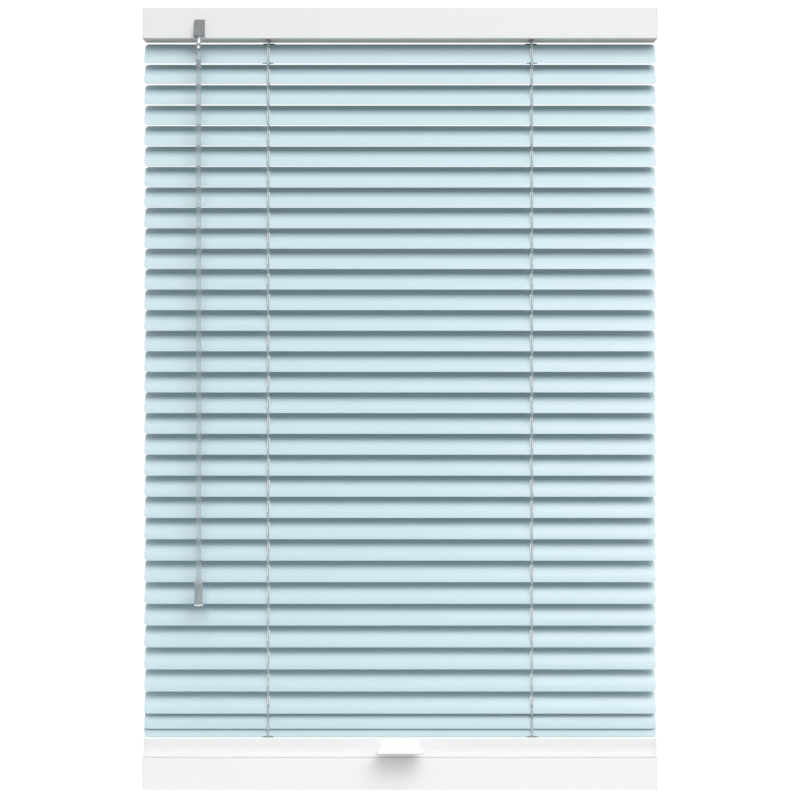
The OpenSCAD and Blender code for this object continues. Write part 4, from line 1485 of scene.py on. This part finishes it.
@dataclass
class Studio:
    """Camera, pale floor, soft lights and background."""

    distance: float = 1.65
    lens: float = 71.6
    shift: float = -0.075
    drop: float = 0.3444
    from_above: float = 0.85
    from_below: float = 0.2
    dome_rise: float = 0.5
    key_height: float = math.radians(50)
    key_aside: float = math.radians(16)
    key_spread: float = math.radians(50)
    key_power: float = 1.5
    side_at: Point = (0.7, -1.7, 1.15)
    side_size: tuple[float, float] = (1.0, 0.8)
    side_power: float = 9
    floor_r: float = 0.93
    floor_tone: float = 0.62
    hang: float = 0.3

    def camera(self) -> None:
        """Places the camera in front of the blind, level, a little above its middle."""
        low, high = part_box("headrail")
        data = bpy.data.cameras.new("camera")
        data.lens, data.sensor_width, data.shift_y = self.lens, 36, self.shift
        made = bpy.data.objects.new("camera", data)
        made.location = (0, low[1] - self.distance, high[2] - self.drop)
        made.rotation_euler = (math.pi / 2, 0, 0)
        bpy.context.scene.collection.objects.link(made)
        bpy.context.scene.camera = made

    @staticmethod
    def light(name: str, at: Point, aim: Point, size: tuple[float, float],
              power: float) -> None:
        """Adds a soft area light.

        Args:
            name: Its name.
            at: Where it stands.
            aim: The point that it faces.
            size: Width and height.
            power: Watts.
        """
        data = bpy.data.lights.new(name, "AREA")
        data.shape, data.size, data.size_y = "RECTANGLE", *size
        data.energy = power
        made = bpy.data.objects.new(name, data)
        made.location = at
        made.rotation_euler = (Vector(aim) - Vector(at)).to_track_quat("-Z", "Y").to_euler()
        bpy.context.scene.collection.objects.link(made)

    @staticmethod
    def far(name: str, height: float, aside: float, spread: float, strength: float) -> None:
        """Adds a wide soft light from far away, the same over the whole blind.

        Args:
            name: Its name.
            height: Angle of its middle over the horizon.
            aside: Angle of its middle to the right of straight ahead.
            spread: Angle that it fills.
            strength: Watts over a square metre.
        """
        data = bpy.data.lights.new(name, "SUN")
        data.angle, data.energy = spread, strength
        made = bpy.data.objects.new(name, data)
        made.rotation_euler = (math.pi / 2 - height, 0, aside)
        bpy.context.scene.collection.objects.link(made)

    def floor(self, z: float) -> None:
        """Adds the pale floor at a height."""
        build = bmesh.new()
        bmesh.ops.create_circle(build, cap_ends=True, segments=96, radius=self.floor_r)
        bmesh.ops.translate(build, verts=build.verts, vec=(0, 0, z))
        mesh = bpy.data.meshes.new("floor")
        build.to_mesh(mesh)
        build.free()
        made = bpy.data.objects.new("floor", mesh)
        bpy.context.scene.collection.objects.link(made)
        pale = bpy.data.materials.new("pale floor")
        pale.use_nodes = True
        shader = next(n for n in pale.node_tree.nodes if n.type == "BSDF_PRINCIPLED")
        shader.inputs["Base Color"].default_value = (*[self.floor_tone] * 3, 1)
        shader.inputs["Roughness"].default_value = 0.9
        shader.inputs["Emission Color"].default_value = (1, 1, 1, 1)
        shader.inputs["Emission Strength"].default_value = 0.05
        mesh.materials.append(pale)
        made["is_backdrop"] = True

    def world(self) -> None:
        """A white background that lights the blind like a soft dome, weaker from below."""
        world = bpy.data.worlds.new("studio")
        world.use_nodes = True
        bpy.context.scene.world = world
        tree = Tree(world.node_tree)
        tree.tree.nodes.clear()
        seen = tree.add("ShaderNodeBackground", Color=(1, 1, 1, 1), Strength=1.05)
        way = tree.add("ShaderNodeTexCoord").outputs["Generated"]
        height = tree.add("ShaderNodeSeparateXYZ", way).outputs["Z"]
        power = tree.add("ShaderNodeMapRange", height, 0.0, self.dome_rise, self.from_below,
                         self.from_above, interpolation_type="SMOOTHSTEP").outputs[0]
        felt = tree.add("ShaderNodeBackground", Color=(0.985, 0.99, 1, 1), Strength=power)
        path = tree.add("ShaderNodeLightPath").outputs["Is Camera Ray"]
        mix = tree.add("ShaderNodeMixShader", path, felt.outputs[0], seen.outputs[0])
        out = tree.add("ShaderNodeOutputWorld")
        tree.put(out.inputs["Surface"], mix.outputs[0])

    def build(self) -> None:
        """Sets up the whole studio."""
        scene = bpy.context.scene
        scene.view_settings.view_transform = "Standard"
        self.camera()
        self.world()
        self.floor(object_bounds()[0][2] - self.hang)
        self.far("key", self.key_height, self.key_aside, self.key_spread, self.key_power)
        head = (0, 0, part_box("headrail")[1][2])
        self.light("side", self.side_at, head, self.side_size, self.side_power)


def main() -> None:
    """Builds the blind and its studio around the frame."""
    logging.basicConfig(level=logging.INFO, format="%(message)s")
    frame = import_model()
    Studio().build()
    at = Measures.read(frame)
    effects = Effects()
    finishes = {slot: finish.material(effects) for slot, finish in FINISHES.items()}
    HardParts(FrameCopy(frame), finishes).build()
    Slats(at).build(finishes["slat_paint"])
    PullTab().build(at, finishes["tab_plastic"])
    ladders = Ladders(at)
    ladders.build(finishes["ladder_string"], finishes["clip_plastic"])
    TensionCords(at).build(ladders, finishes["tension_cord"], finishes["link_wire"])
    Wand(at).build(finishes["wand_plastic"], finishes["grip_plastic"], finishes["tab_plastic"])
    for name, node in frame["nodes"].items():
        slot = next(s["material_slot"] for s in frame["record"]["subparts"] if s["node"] == name)
        node.data.materials.clear()
        node.data.materials.append(finishes[slot])


if __name__ == "__main__":
    main()
